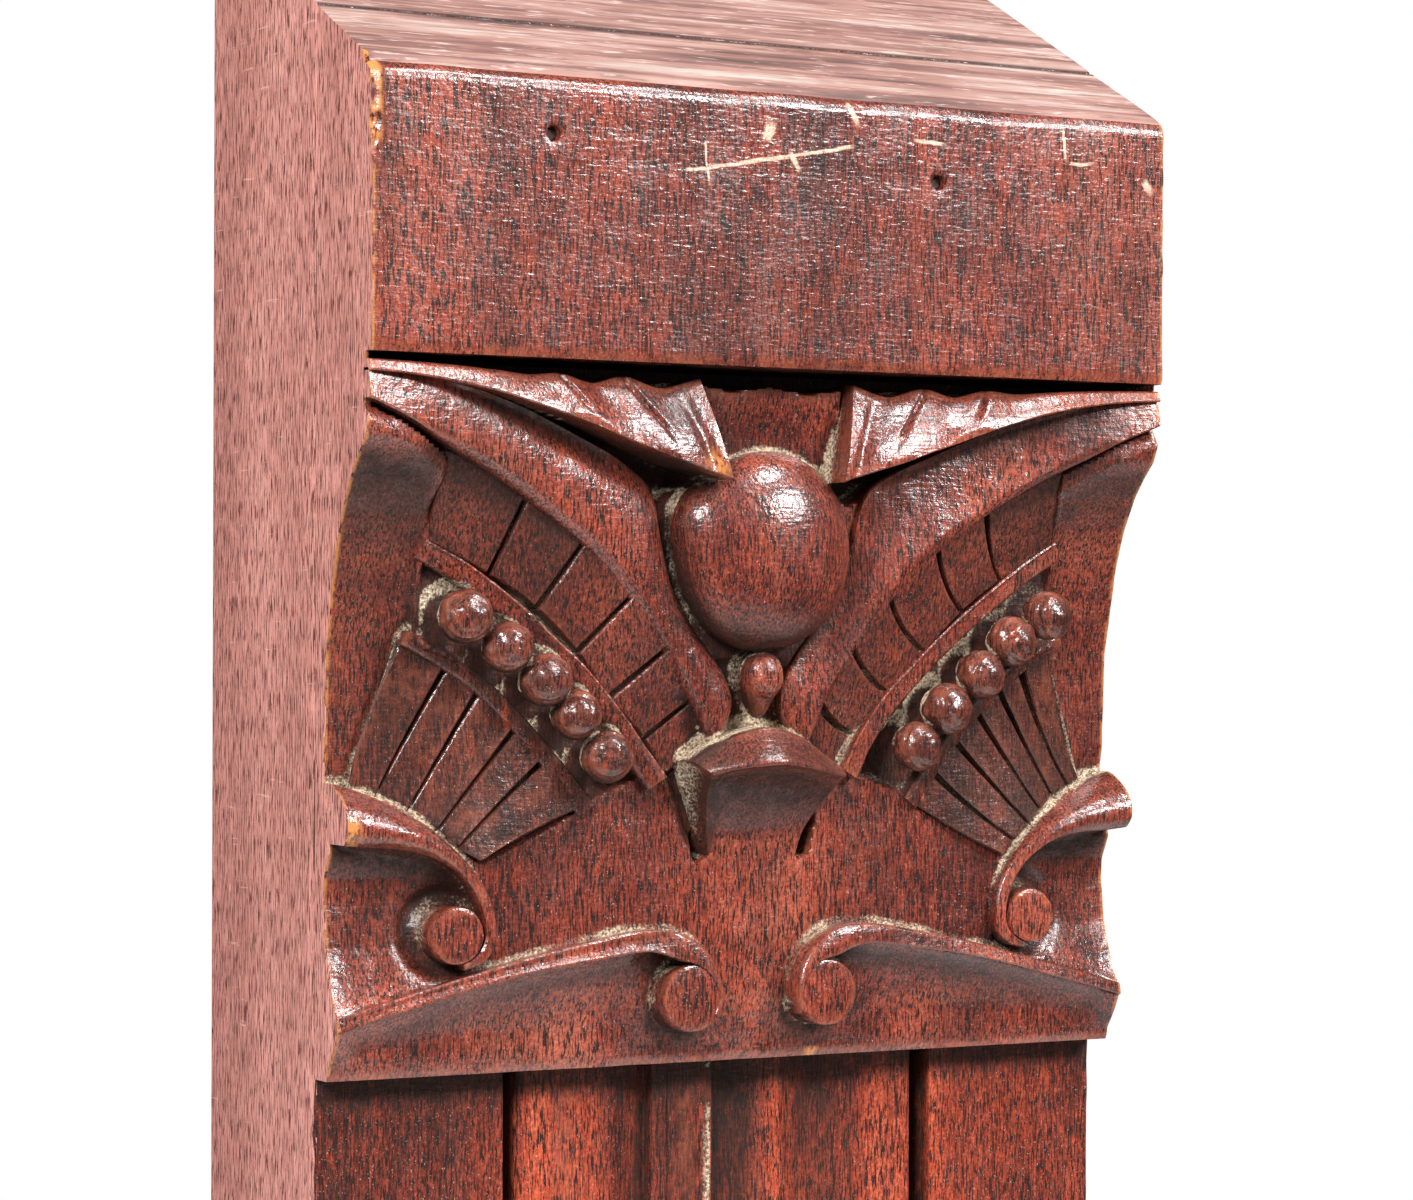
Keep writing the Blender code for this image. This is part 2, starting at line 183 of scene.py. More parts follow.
def section_rings(point, foot, walls=(0.1, 0.3, 0.6, 1.0)):
    """Front rows[n, m] of (across, depth, up) closed by walls down to a foot depth."""
    sides = []
    for edge in (point[:, 0], point[:, -1]):
        wall = np.repeat(edge[:, None, :], len(walls), axis=1)
        for k, share in enumerate(walls):
            wall[:, k, 1] = edge[:, 1] + (foot - edge[:, 1]) * share
        sides.append(wall)
    return np.concatenate([sides[0][:, ::-1], point, sides[1]], axis=1)


def ribbon(rows, shape, foot, side, spacing=0.8, across=10, arris=0.4, seed=1):
    """A carved ribbon between matched edges.

    rows hold (across, up, depth) of one edge and of the other; shape(t, u, x, up)
    adds depth, with t from 0 to 1 along the ribbon and u from edge to edge.  arris is
    how far the edges are eased.
    """
    params = even_params(rows, [0, 1, 3, 4], spacing)
    path = spline_at(rows, params)
    first, second = path[:, None, 0:3], path[:, None, 3:6]
    width = np.linalg.norm((second - first)[..., :2], axis=-1)
    inset = np.minimum(0.3, arris / width)
    u = inset + (1 - 2 * inset) * np.linspace(0, 1, across)[None, :]
    u = np.hstack([np.zeros_like(inset), u, np.ones_like(inset)])
    flat = first * (1 - u[..., None]) + second * u[..., None]
    flat[..., 0] = np.minimum(flat[..., 0], HALF - 0.1)
    t = (params / (len(rows) - 1))[:, None] + 0 * u
    depth = flat[..., 2] + shape(t, u, flat[..., 0], flat[..., 1])
    depth += 0.12 * lumps(side * flat[..., 0], flat[..., 1], 4.0, seed)
    depth[:, 0] -= arris
    depth[:, -1] -= arris
    depth = np.minimum(depth, CAP_DEPTH - 0.03)
    point = np.stack([side * flat[..., 0], depth, flat[..., 1]], axis=-1)
    return section_rings(point, foot)


def slats(rows, groove, deep, shape, foot, side, seed):
    """A row of slats parted by cut grooves.

    Each row holds (across, up, depth) at one end, the middle and the other end of
    a groove; the first and last rows are the outer sides.  groove(u) is half the
    width of a groove and deep its depth, in millimetres.
    """
    rows = np.asarray(rows, float)
    last = len(rows) - 1
    edge = 0.35
    stations = []                                  # (parameter, shift in mm, drop)
    for k in range(last):
        count = max(3, int(np.linalg.norm(rows[k + 1, 3:5] - rows[k, 3:5]) / 0.9))
        inner = np.linspace(k, k + 1, count + 1)[1:-1]
        if k:
            stations += [(k, 1, 0, deep), (k, 1, 0, 0.35), (k, 1, edge, 0.0)]
        stations += [(p, 0, 0, 0.0) for p in inner]
        if k < last - 1:
            stations += [(k + 1, -1, -edge, 0.0), (k + 1, -1, 0, 0.35), (k + 1, -1, 0, deep)]
    stations = [(0.0, 0, 0, 0.5), (0.04, 0, 0, 0.0)] + stations
    stations += [(last - 0.04, 0, 0, 0.0), (last, 0, 0, 0.5)]
    base, sign, extra, drop = (np.array(c, float)[:, None] for c in zip(*stations))
    u = np.concatenate([[0.0, 0.02], np.linspace(0.05, 0.95, 16), [0.98, 1.0]])[None, :]
    speed = np.linalg.norm(spline_at(rows[:, 3:5], np.minimum(base + 0.25, last)[:, 0])
                           - spline_at(rows[:, 3:5], np.maximum(base - 0.25, 0)[:, 0]),
                           axis=1)[:, None] * 2
    param = base + (sign * groove(u) + extra) / speed
    values = spline_at(rows, param)                # stations, u, 9
    ends = [values[..., 0:3], values[..., 3:6], values[..., 6:9]]
    v = u[..., None]
    flat = (ends[0] * (1 - v) * (1 - 2 * v) + ends[1] * 4 * v * (1 - v)
            + ends[2] * v * (2 * v - 1))
    slat = np.floor(np.clip(base - 1e-6 * (sign < 0), 0, last - 1e-6))
    depth = flat[..., 2] + shape(np.clip(param - slat, 0, 1), u, slat, flat[..., 0],
                                 flat[..., 1]) - drop
    depth += 0.1 * lumps(side * flat[..., 0], flat[..., 1], 3.0, seed)
    depth[:, 0] -= 0.5
    depth[:, -1] -= 0.5
    point = np.stack([side * flat[..., 0], depth, flat[..., 1]], axis=-1)
    return section_rings(point, foot)


def turned(centre, corners, side, wobble):
    """Rings about the depth axis through (radius, depth) corners, front centre first."""
    across, up = centre
    angle = np.linspace(0, 2 * math.pi, 48, endpoint=False)
    corners = np.array(corners)
    length = np.linalg.norm(np.diff(corners, axis=0), axis=1)
    path = np.concatenate([[0.0], np.cumsum(length)])
    at = np.unique(np.concatenate([path, np.arange(0.0, path[-1], 0.7)]))
    rings = []
    for radius, depth in zip(np.interp(at, path, corners[:, 0]),
                             np.interp(at, path, corners[:, 1])):
        x = across + radius * np.cos(angle)
        z = up + radius * np.sin(angle)
        swell = 1 + wobble * lumps(x * 2, z * 2, 5.0, 3)
        rings.append(np.stack([side * (across + (x - across) * swell),
                               depth + 0.08 * lumps(x, z, 2.5, 4),
                               up + (z - up) * swell], axis=-1))
    return rings


def rounded(centre, radii, side=1, sides=64, stacks=40, power=2.0, dents=(), seed=5,
            behind=0.75):
    """A carved boss: an ellipsoid, squarer with a higher power, dented by the gouge.

    dents are (size, amount) pairs, and behind is the share of a full ball that is made.
    """
    across, depth, up = centre
    polar = np.linspace(0.02, math.pi * behind, stacks)[:, None]
    angle = np.linspace(0, 2 * math.pi, sides, endpoint=False)[None, :]
    direction = np.stack([np.sin(polar) * np.cos(angle), np.cos(polar) + 0 * angle,
                          np.sin(polar) * np.sin(angle)], axis=-1)
    unit = np.sum(np.abs(direction) ** power, axis=-1, keepdims=True) ** (-1 / power)
    shape = direction * unit
    swell = np.ones(shape.shape[:-1])
    for size, amount in dents:
        swell += amount * lumps(shape[..., 0] * radii[0] + 3.1 * shape[..., 1] * radii[1],
                                shape[..., 2] * radii[2], size, seed)
        seed += 1
    place = shape * np.array(radii) * swell[..., None]
    return np.stack([side * (across + place[..., 0]), depth + place[..., 1],
                     up + place[..., 2]], axis=-1)


# ---------------------------------------------------------------- the carved ground

# (up, depth) pairs: the cove of the ground at the middle, and along the outer edges.
MIDDLE_COVE = ((0, 7.3), (3, 7.8), (10, 9.4), (18, 10.8), (28, 11.5), (62, 11.6), (80, 12.0),
               (112, 13.0), (130, 14.5), (153, 15.0))
EDGE_COVE = ((0, 7.3), (2.5, 7.6), (4.6, 9.0), (7.4, 10.8), (10.8, 12.4), (13.4, 12.1),
             (16, 10.2), (20, 8.6), (28, 6.2), (38, 5.0), (42.6, 5.4), (48, 8.0), (56, 6.0),
             (64, 4.4), (68, 5.0), (91, 6.2), (103, 8.6), (112, 11.0), (120, 14.0),
             (126.5, 17.7), (131, 21.5), (135, 25.5), (139, 27.2), (153, 28.0))
# From the centre line outwards: where the coved edge stops below the flaps, the arris
# of the foot scroll's bed, and the depth to which that bed rises along it.
LEDGE = ((74, 128.8), (80, 133.0), (90, 138.6), (100, 142.8))
FOOT_ARRIS = ((9, 15.0), (16, 22.0), (24, 24.8), (28, 25.6), (33, 25.3), (40, 24.3),
              (60, 21.1), (80, 16.1), (100, 10.8))
FOOT_LIFT = ((24, 15.6), (40, 14.9), (60, 13.9), (80, 12.9), (100, 11.7))
# Outlines in (across, up) of the sunk fields, and the depths of their floors.
SCROLL_FIELD = ((101, 50), (90, 49), (80, 47.5), (73, 44), (68.5, 38.5), (66.6, 32), (66.6, 27),
                (64, 24), (70, 21.5), (80, 18.6), (101, 13))
FAN_FIELD = ((82.5, 92.0), (74, 88.6), (66, 82.6), (58.5, 75.4), (51, 67), (45, 59.5),
             (42.5, 57.2), (54, 51.5), (66, 46), (72, 50), (80, 55.5), (92, 61.5), (93, 68),
             (88, 79))
BEAD_FIELD = ((80.0, 112), (70, 106.4), (60, 98.8), (48.5, 88.4), (39, 78), (32, 69.2),
              (29.5, 63.6), (41.5, 58.8), (47, 64), (53.5, 71.5), (61, 79.6), (69, 87.0),
              (76, 92.2), (82, 94.4))
BRICK_FIELD = ((79.0, 115), (70, 109), (60, 101), (47, 90.8), (37.5, 80.8), (30.5, 71.5),
               (25.5, 64), (20, 64), (10, 71), (16, 80), (26, 94), (40, 111), (58, 125),
               (77, 135))
HOLLOW = ((88, 147.0), (70, 144.6), (55, 142.0), (40, 138.4), (28, 134.5), (17, 130.0),
          (24, 124.0), (32, 128.6), (40, 132.2), (50, 136.6), (62, 140.4), (76, 143.6))
BUD_RECESS = ((-8.5, 89), (8.5, 89), (9.5, 80), (10.5, 73.5), (0, 70), (-10.5, 73.5),
              (-9.5, 80))
LEFT_COMMA = ((-9.8, 54.8), (-9.4, 50.5), (-10.6, 46.6), (-13.2, 44.4), (-14.6, 46.4),
              (-13.4, 50.4), (-11.4, 53.4))
RIGHT_COMMA = ((16.6, 54.2), (15.9, 50.0), (15.2, 46.0), (12.8, 45.0), (11.4, 47.0),
               (13.4, 50.0))
LEFT_UNDERCUT = ((-21.0, 64.5), (-9.0, 68.0), (-9.0, 52.0), (-12.5, 46.0), (-16.0, 51.0),
                 (-18.0, 57.0))
FAN_FLOOR = 6.0
BEAD_FLOORS = (9.4, 5.0)                     # further out, and near the middle
BRICK_FLOOR = 9.0
HOLLOW_FLOOR = 9.0
BUD_FLOOR = 10.5
COMMA_FLOOR = 3.5
SLOT_FLOOR = 6.0


def ground_depth(x, up):
    """Depth of the carved ground of the capital, below every applied ornament."""
    a = np.abs(x)
    depth = profile(up, MIDDLE_COVE)
    # the bed below the foot scrolls, which rises to meet them
    below = profile(a, FOOT_ARRIS) - up
    lift = np.exp(-np.clip(below, 0, None) / 3.4) * ramp(a, 20, 32) * (below > -1.5)
    low_floor = depth - 1.2 * ramp(a, 24, 40) * ramp(up, 3, 10) * (below > -1.5)
    depth = low_floor + (profile(a, FOOT_LIFT) - low_floor) * lift
    # the hollow that the side scrolls curl round
    outer = profile(up, EDGE_COVE)
    scroll = cover(SCROLL_FIELD, a, up, 2.4)
    hollow_eye = 2.2 * np.exp(-((np.hypot(a - 74, up - 31) - 8.0) / 2.2) ** 2)
    inner_field = outer + 3.2 * (1 - ramp(a, 70, 100)) - hollow_eye
    depth = depth + (inner_field - depth) * scroll
    # the coved outer edge, up to the ledge under the flaps
    ledge = profile(a, LEDGE)
    outer_field = outer - 2.6 * np.clip((up - ledge + 4.0) / 4.0, 0, 1)
    side = ramp(a + 0.34 * (up - 123.5), 78.6, 80.0) * ramp(up, 58, 62) * (up < 134)
    side = np.maximum(side, ramp(a + 0.05 * (up - 110), 80.0, 81.4) * ramp(up, 58, 62))
    side = side * (1 - ramp(up, ledge, ledge + 0.5))
    depth = depth + (outer_field - depth) * side
    depth = np.maximum(depth, 25.0 * ramp(a, 95, 97.5) * ramp(up, 142.5, 143))
    edge = ramp(a, 93, 100) * (1 - ramp(up, 56, 62))
    depth = depth + (outer - depth) * edge
    # the sunk fields
    floor = BEAD_FLOORS[0] + (BEAD_FLOORS[1] - BEAD_FLOORS[0]) * ramp(-a, -42, -33)
    for level, outline, soft in ((FAN_FLOOR, FAN_FIELD, 1.5), (floor, BEAD_FIELD, 1.2),
                                 (BRICK_FLOOR, BRICK_FIELD, 1.5), (HOLLOW_FLOOR, HOLLOW, 1.4)):
        depth = depth + (level - depth) * cover(outline, a, up, soft)
    # the niche behind the ball, and the cuts round the bud and the hood
    niche = (1 - ramp(a, 17.5, 20.5)) * ramp(up, 124, 132)
    niche_wall = 19.0 + 2.0 * ramp(up, 136, 150) - 1.2 * np.exp(-(a / 9.0) ** 2)
    depth = depth + (niche_wall - depth) * niche
    recess = cover(BUD_RECESS, x, up, 2.0)
    depth = depth + (BUD_FLOOR - depth) * recess
    depth = depth - 3.2 * cover(LEFT_UNDERCUT, x, up, 4.0)
    pits = np.maximum(cover(LEFT_COMMA, x, up, 0.9), cover(RIGHT_COMMA, x, up, 0.9))
    depth = depth + (COMMA_FLOOR - depth) * pits
    # the slot under the cap, with its scalloped lower edge
    scallop = 149.6 - 1.3 * np.abs(np.sin(x * math.pi / 19.5)) ** 0.7 * (a < 20)
    scallop = scallop + 1.4 * ramp(a, 88, 99)
    slot = ramp(up, scallop, scallop + 0.5)
    slot_floor = SLOT_FLOOR + 19.5 * ramp(a, 97.6, 99.2)
    depth = depth + (slot_floor - depth) * slot
    # tool marks
    depth = depth + 0.16 * lumps(x, up, 7.0, 11) + 0.07 * lumps(x, up, 2.2, 12)
    return depth


def build_capital():
    """The block: carved ground, slot, plain cap and sloped top, as one solid."""
    piece = Piece("capital_carving", ["capital_block"], "varnished_mahogany")
    nails_x = [(x - 2.4, x + 2.4, 0.35) for x, _ in CAP_NAILS]
    nails_up = [(up - 2.4, up + 2.4, 0.35) for _, up in CAP_NAILS]
    across = cuts(-HALF, HALF, 0.78, nails_x + [(-16, -8, 0.45), (10, 18, 0.45)])
    across = np.concatenate([[-HALF, -HALF + 0.25], across[1:-1], [HALF - 0.25, HALF]])
    ups = cuts(0.0, CAP_UNDER - 0.4, 0.78, [(43, 56, 0.5), (148.5, 151, 0.4)])
    x, up = np.meshgrid(across, ups, indexing="ij")
    depth = ground_depth(x, up)
    lower_wear = 0.5 + 0.4 * lumps(x, 0 * x, 9.0, 31)
    depth = depth - lower_wear * (1 - ramp(up, 0.0, 1.4))
    ground = np.stack([x, depth, up], axis=-1)

    # the plain cap, with eased edges, nail holes and a chipped corner
    cap_up = cuts(CAP_UNDER, CAP_TOP, 1.3, nails_up)
    x, up = np.meshgrid(across, cap_up, indexing="ij")
    wear = 1.0 + 0.5 * lumps(x, up, 14.0, 21)
    cap = CAP_DEPTH - 0.02 - 0.22 * (1 + lumps(x, up * 0.6, 34.0, 22)) * 0.5
    cap = cap - 0.05 * (1 + lumps(x * 0.25, up, 3.5, 23))
    cap = cap - 0.5 * wear * (1 - ramp(up, CAP_UNDER, CAP_UNDER + 1.5))
    rise = np.clip(up - (CAP_TOP - 2.6), 0, None)
    cap = cap - 0.28 * wear * rise ** 2
    for nail_x, nail_up in CAP_NAILS:
        away = np.hypot(x - nail_x, up - nail_up)
        cap = cap - 3.6 * (1 - ramp(away, 1.1, 1.75)) - 0.15 * (1 - ramp(away, 1.6, 3.0))
    chip = ramp(-x, HALF - 2.4, HALF) * ramp(up, 193, 198)
    cap = cap - chip * (1.4 + 1.2 * lumps(x * 2, up, 2.6, 24))
    cap_front = np.stack([x, np.minimum(cap, CAP_DEPTH - 0.02), up], axis=-1)

    # its underside, the sloped top and the lower edge
    lip = cap_front[:, :1].copy()
    under = np.linspace(0.04, 0.92, 9)[None, :]
    start = ground[:, -1:]
    underside = start + (lip - start) * under[..., None]
    underside[..., 2] = CAP_UNDER + 0.15 * lumps(underside[..., 0], underside[..., 1], 6.0, 25)

    back = np.linspace(0.0, 1.0, 22)[None, 1:]
    top_depth = cap_front[:, -1:, 1] * (1 - back) + SEAM * back
    x = np.repeat(across[:, None], top_depth.shape[1], axis=1)
    top_up = CAP_TOP + (CAP_DEPTH - top_depth) * TOP_SLOPE
    top_up = top_up - 0.12 * (1 + lumps(x * 0.15, top_depth, 2.4, 26)) * ramp(back, 0, 0.1)
    top_up = np.where(back < 0.06, top_up - 0.25, top_up)
    top = np.stack([x, top_depth, top_up], axis=-1)

    bottom = ground[:, :1].copy()
    bottom[..., 1] = SEAM
    rings = np.concatenate([bottom, ground, underside, cap_front, top], axis=1)
    arris = 0.45 + 0.35 * lumps(rings[..., 2], 0 * rings[..., 2], 5.0, 27)
    for end in (0, -1):
        front = rings[end, :, 1] > 1.0
        rings[end, front, 1] -= arris[end, front]
    piece.add(rings)


# ---------------------------------------------------------------- ornaments

def carved(node, slot="varnished_mahogany"):
    """A detailed piece in place of the CAD node of that name."""
    return Piece(node + "_carved", [node], slot)


def build_flap(side, suffix):
    """A folded flap under the cap with a scalloped upper edge."""
    rows = ((100, 151.4, 27.2, 100, 149.0, 28.2), (90, 151.2, 26.8, 90, 148.4, 28.3),
            (80, 150.8, 26.4, 80, 147.2, 28.4), (70, 150.2, 25.8, 70, 145.4, 28.5),
            (62, 149.6, 25.0, 60, 142.8, 28.6), (54, 150.1, 24.6, 50, 139.9, 28.7),
            (46, 148.4, 23.8, 41, 136.8, 28.5), (38.0, 150.1, 23.4, 32, 133.8, 28.4),
            (29, 147.9, 23.2, 23.6, 131.3, 28.4), (19.6, 150.3, 23.4, 14.2, 128.4, 28.4))

    def shape(t, u, x, up):
        folds = 0.0
        for top, foot in ((54.0, 47.5), (38.5, 31.0)):
            line = np.abs(x - (top + (foot - top) * np.clip((149.5 - up) / 9.0, 0, 1.4)))
            folds = folds - 0.9 * np.exp(-(line / 0.55) ** 2) * (1 - ramp(u, 0.45, 0.8))
        crease = np.abs(x - 25.5 + 0.42 * (149 - up))
        folds = folds - 0.5 * np.exp(-(crease / 1.4) ** 2) * ramp(u, 0.05, 0.3)
        belly = 0.9 * np.sin(np.pi * u ** 1.2) * ramp(t, 0.1, 0.7)
        facets = 0.8 * np.abs(np.sin(np.pi * (x - 19.6) / 18.2)) * u * ramp(t, 0.4, 0.55)
        return folds + belly + facets

    piece = carved("wing_flap_" + suffix)
    piece.add(ribbon(rows, shape, foot=14.0, side=side, across=16, arris=0.35, seed=41))


def build_band(side, suffix):
    """The wing that sweeps from the outer edge down beside the ball."""
    rows = ((100, 149.6, 26.8, 100, 143.4, 28.2), (90, 148.8, 25.6, 90, 139.4, 27.0),
            (80, 147.6, 23.8, 80.5, 134.6, 25.4), (71, 145.8, 21.6, 71, 129.9, 23.6),
            (62, 143.2, 19.6, 61.5, 124.6, 21.9), (53, 139.8, 18.0, 53, 119.0, 21.1),
            (43, 135.6, 17.0, 45.4, 113.8, 20.6), (34, 131.4, 16.4, 39.4, 108.7, 20.0),
            (27.4, 126.0, 15.8, 34.2, 103.3, 19.3), (24.6, 116.0, 14.8, 29.5, 97.6, 18.4),
            (21.5, 106.5, 13.8, 25.0, 91.6, 17.7), (16.5, 97.5, 13.6, 21.0, 85.6, 17.4),
            (11.5, 91.0, 13.8, 18.0, 81.3, 17.2), (8.0, 85.5, 14.2, 15.4, 77.0, 17.0),
            (6.2, 79.5, 14.0, 13.6, 73.0, 16.4), (9.4, 71.6, 13.0, 12.8, 70.0, 15.0))

    def shape(t, u, x, up):
        swell = 2.4 if side < 0 else -0.3
        bulge = swell * np.sin(np.pi * np.clip(u, 0, 1) ** 0.8) * ramp(t, 0.02, 0.35)
        bevel = 1.6 * ramp(u, 0.86, 1.0) * ramp(t, 0.05, 0.2) * (1 - ramp(t, 0.75, 0.95))
        ridge = 2.2 * np.exp(-((u - 0.02) / 0.05) ** 2) * ramp(t, 0.1, 0.2)
        return bulge - bevel + ridge * (1 - ramp(t, 0.4, 0.5))

    piece = carved("v_band_" + suffix)
    piece.add(ribbon(rows, shape, foot=8.0, side=side, across=20, arris=0.45, seed=43))


def rail_rows(line, widths, depths):
    """Matched edges of a rail from its centre line, widths and edge depths."""
    centre = np.asarray(line, float)
    ahead = np.gradient(centre, axis=0)
    normal = np.stack([-ahead[:, 1], ahead[:, 0]], axis=1)
    normal /= np.linalg.norm(normal, axis=1)[:, None]
    normal *= np.where(normal[:, 1:] < 0, -1, 1)
    share = np.linspace(0, 1, len(centre))
    half = np.interp(share, [0, 1], widths)[:, None] / 2
    upper, lower = centre + normal * half, centre - normal * half
    first = np.interp(share, [0, 1], depths[0])[:, None]
    second = np.interp(share, [0, 1], depths[1])[:, None]
    return np.hstack([upper, first, lower, second])


def build_rails(side, suffix):
    """The two rails that hold the beads."""
    if side < 0:
        upper = ((81.4, 112.6), (71, 107.2), (60, 99.5), (52, 92.7), (43.6, 85.3),
                 (35.4, 76.0), (29.8, 68.6), (24.8, 62.2))
    else:
        upper = ((81.4, 114.6), (72.2, 109.2), (60, 100.8), (49.6, 92.8), (41.8, 86.0),
                 (34.4, 79.0), (28.4, 71.2), (24.2, 63.6))
    drop = 1.6 if side < 0 else 0.5
    rows = rail_rows(upper, (4.4, 4.6), ((13.6, 15.2), (13.6 - drop, 15.2 - drop)))
    piece = carved("upper_rail_" + suffix)
    piece.add(ribbon(rows, lambda t, u, x, up: 0.5 * np.exp(-(u / 0.12) ** 2), foot=5.0,
                     side=side, across=8, seed=45))
    lower = ((84.0, 93.8), (76, 89.6), (66.8, 83.8), (58.0, 75.8), (50.4, 67.4),
             (45.0, 61.2), (41.6, 56.6))
    rows = rail_rows(lower, (3.4, 4.4), ((10.8, 13.4), (10.2, 12.6)))
    piece = carved("lower_rail_" + suffix, "dark_varnish")
    piece.add(ribbon(rows, lambda t, u, x, up: 0.35 * np.sin(np.pi * u), foot=4.0,
                     side=side, across=8, seed=47))


def build_bricks(side, suffix):
    """Six bricks in a curved course between the band and the upper rail."""
    ends = ((78.6, 133.5, 19.5, 80.0, 114.2, 12.6), (58.0, 125.8, 18.6, 65.4, 107.4, 13.0),
            (44.8, 115.0, 18.6, 54.4, 100.2, 14.0), (32.6, 103.6, 18.0, 44.4, 90.8, 14.0),
            (23.4, 92.0, 17.4, 36.4, 80.8, 13.4), (16.0, 80.6, 14.9, 27.0, 72.0, 12.6),
            (9.5, 72.0, 13.4, 21.6, 63.6, 11.9))
    bow = 0.0 if side < 0 else 0.9
    rows = [(bx, bu, bd, (ax + bx) / 2 - bow, (au + bu) / 2 - bow, (ad + bd) / 2, ax, au, ad)
            for bx, bu, bd, ax, au, ad in ends]

    def shape(v, u, slat, x, up):
        tilt = 0.5 * (0.5 - v) + 0.25 * np.sin(7.3 * slat + 1.1)
        sunk = -0.9 * (slat > 4.5)
        return tilt + sunk + 0.25 * np.sin(np.pi * v)

    piece = carved("brick_course_" + suffix)
    wide = (lambda u: 0.42 + 0.25 * u) if side < 0 else (lambda u: 1.05 - 0.55 * u)
    piece.add(slats(rows, wide, deep=4.5, shape=shape, foot=6.0, side=side, seed=51))


def build_fan(side, suffix):
    """The fan of leaves between the lower rail and the side scroll."""
    if side < 0:
        rows = ((84.5, 92.5, 9.4, 92.4, 73.4, 7.8, 95.4, 60.6, 7.6),
                (73.2, 88.6, 10.2, 82.6, 73.4, 9.4, 90.0, 59.6, 8.4),
                (66.4, 82.6, 10.8, 75.0, 69.4, 10.4, 83.0, 56.6, 9.8),
                (56.6, 75.9, 11.6, 66.3, 65.0, 11.8, 77.0, 52.6, 12.0),
                (50.4, 68.2, 12.2, 60.8, 59.8, 12.8, 72.6, 49.2, 13.6),
                (42.6, 57.2, 12.4, 55.6, 52.0, 13.2, 67.4, 46.2, 14.0))
    else:
        rows = ((81.0, 93.4, 9.4, 85.4, 75.4, 8.4, 92.0, 60.6, 7.6),
                (73.2, 88.0, 10.2, 79.4, 73.4, 9.4, 88.4, 58.8, 8.6),
                (66.8, 83.0, 10.8, 74.0, 71.0, 10.2, 83.2, 56.8, 9.8),
                (60.4, 77.6, 11.4, 68.6, 66.6, 11.2, 78.2, 54.4, 11.4),
                (54.0, 70.8, 12.0, 63.0, 62.0, 12.2, 74.0, 51.4, 12.6),
                (47.8, 63.8, 12.3, 57.0, 56.2, 12.8, 69.6, 47.6, 13.4),
                (42.2, 57.0, 12.4, 53.0, 50.6, 13.0, 66.6, 44.4, 14.0))

    def shape(v, u, slat, x, up):
        return 0.5 * (v - 0.5) * (1 if side < 0 else 0.6) + 0.12 * np.sin(5.1 * slat)

    piece = carved("leaf_fan_" + suffix, "dark_varnish")
    wide = (lambda u: 0.62 - 0.34 * u) if side < 0 else (lambda u: 0.72 - 0.4 * u)
    piece.add(slats(rows, wide, deep=4.2, shape=shape, foot=3.5, side=side, seed=53))


def build_side_scroll(side, suffix):
    """The ribbon that comes in from the edge and curls round a flat eye."""
    rows = ((100, 63.0, 8.0, 100, 50.2, 16.6), (94, 61.4, 8.6, 94, 49.6, 16.6),
            (88, 59.0, 9.6, 88, 49.2, 16.4), (80, 54.6, 11.4, 80.4, 47.6, 16.0),
            (74.6, 50.0, 13.0, 75.8, 45.6, 15.6), (70.0, 45.2, 14.0, 71.6, 42.6, 15.3),
            (66.4, 40.2, 14.4, 68.6, 38.6, 15.0), (64.4, 35.2, 14.5, 66.9, 34.4, 15.0),
            (63.9, 30.6, 14.5, 66.4, 30.6, 15.0), (64.9, 26.6, 14.5, 67.4, 27.4, 14.9),
            (67.6, 24.0, 14.4, 69.4, 25.4, 14.9), (71.2, 22.9, 14.2, 71.8, 24.2, 14.9))

    def shape(t, u, x, up):
        crest = 4.4 * np.sin(np.pi * np.clip(u, 0, 1) ** 0.85) * (1 - ramp(t, 0.1, 0.55))
        nose = -1.3 * ramp(u, 0.82, 1.0) * (1 - ramp(t, 0.2, 0.5))
        return crest + nose

    piece = carved("side_scroll_" + suffix)
    piece.add(ribbon(rows, shape, SCROLL_FOOT, side, spacing=0.7, across=14, seed=57))
    across, up, radius = SCROLL_EYE
    piece.add(turned((across, up), ((0.3, 15.1), (2.0, 15.1), (4.0, 15.0), (radius - 0.8, 14.9),
                                    (radius - 0.2, 14.7), (radius, 14.2), (radius, 12.8),
                                    (radius, 10.0), (radius + 0.2, SCROLL_FOOT)), side,
                     wobble=0.012))


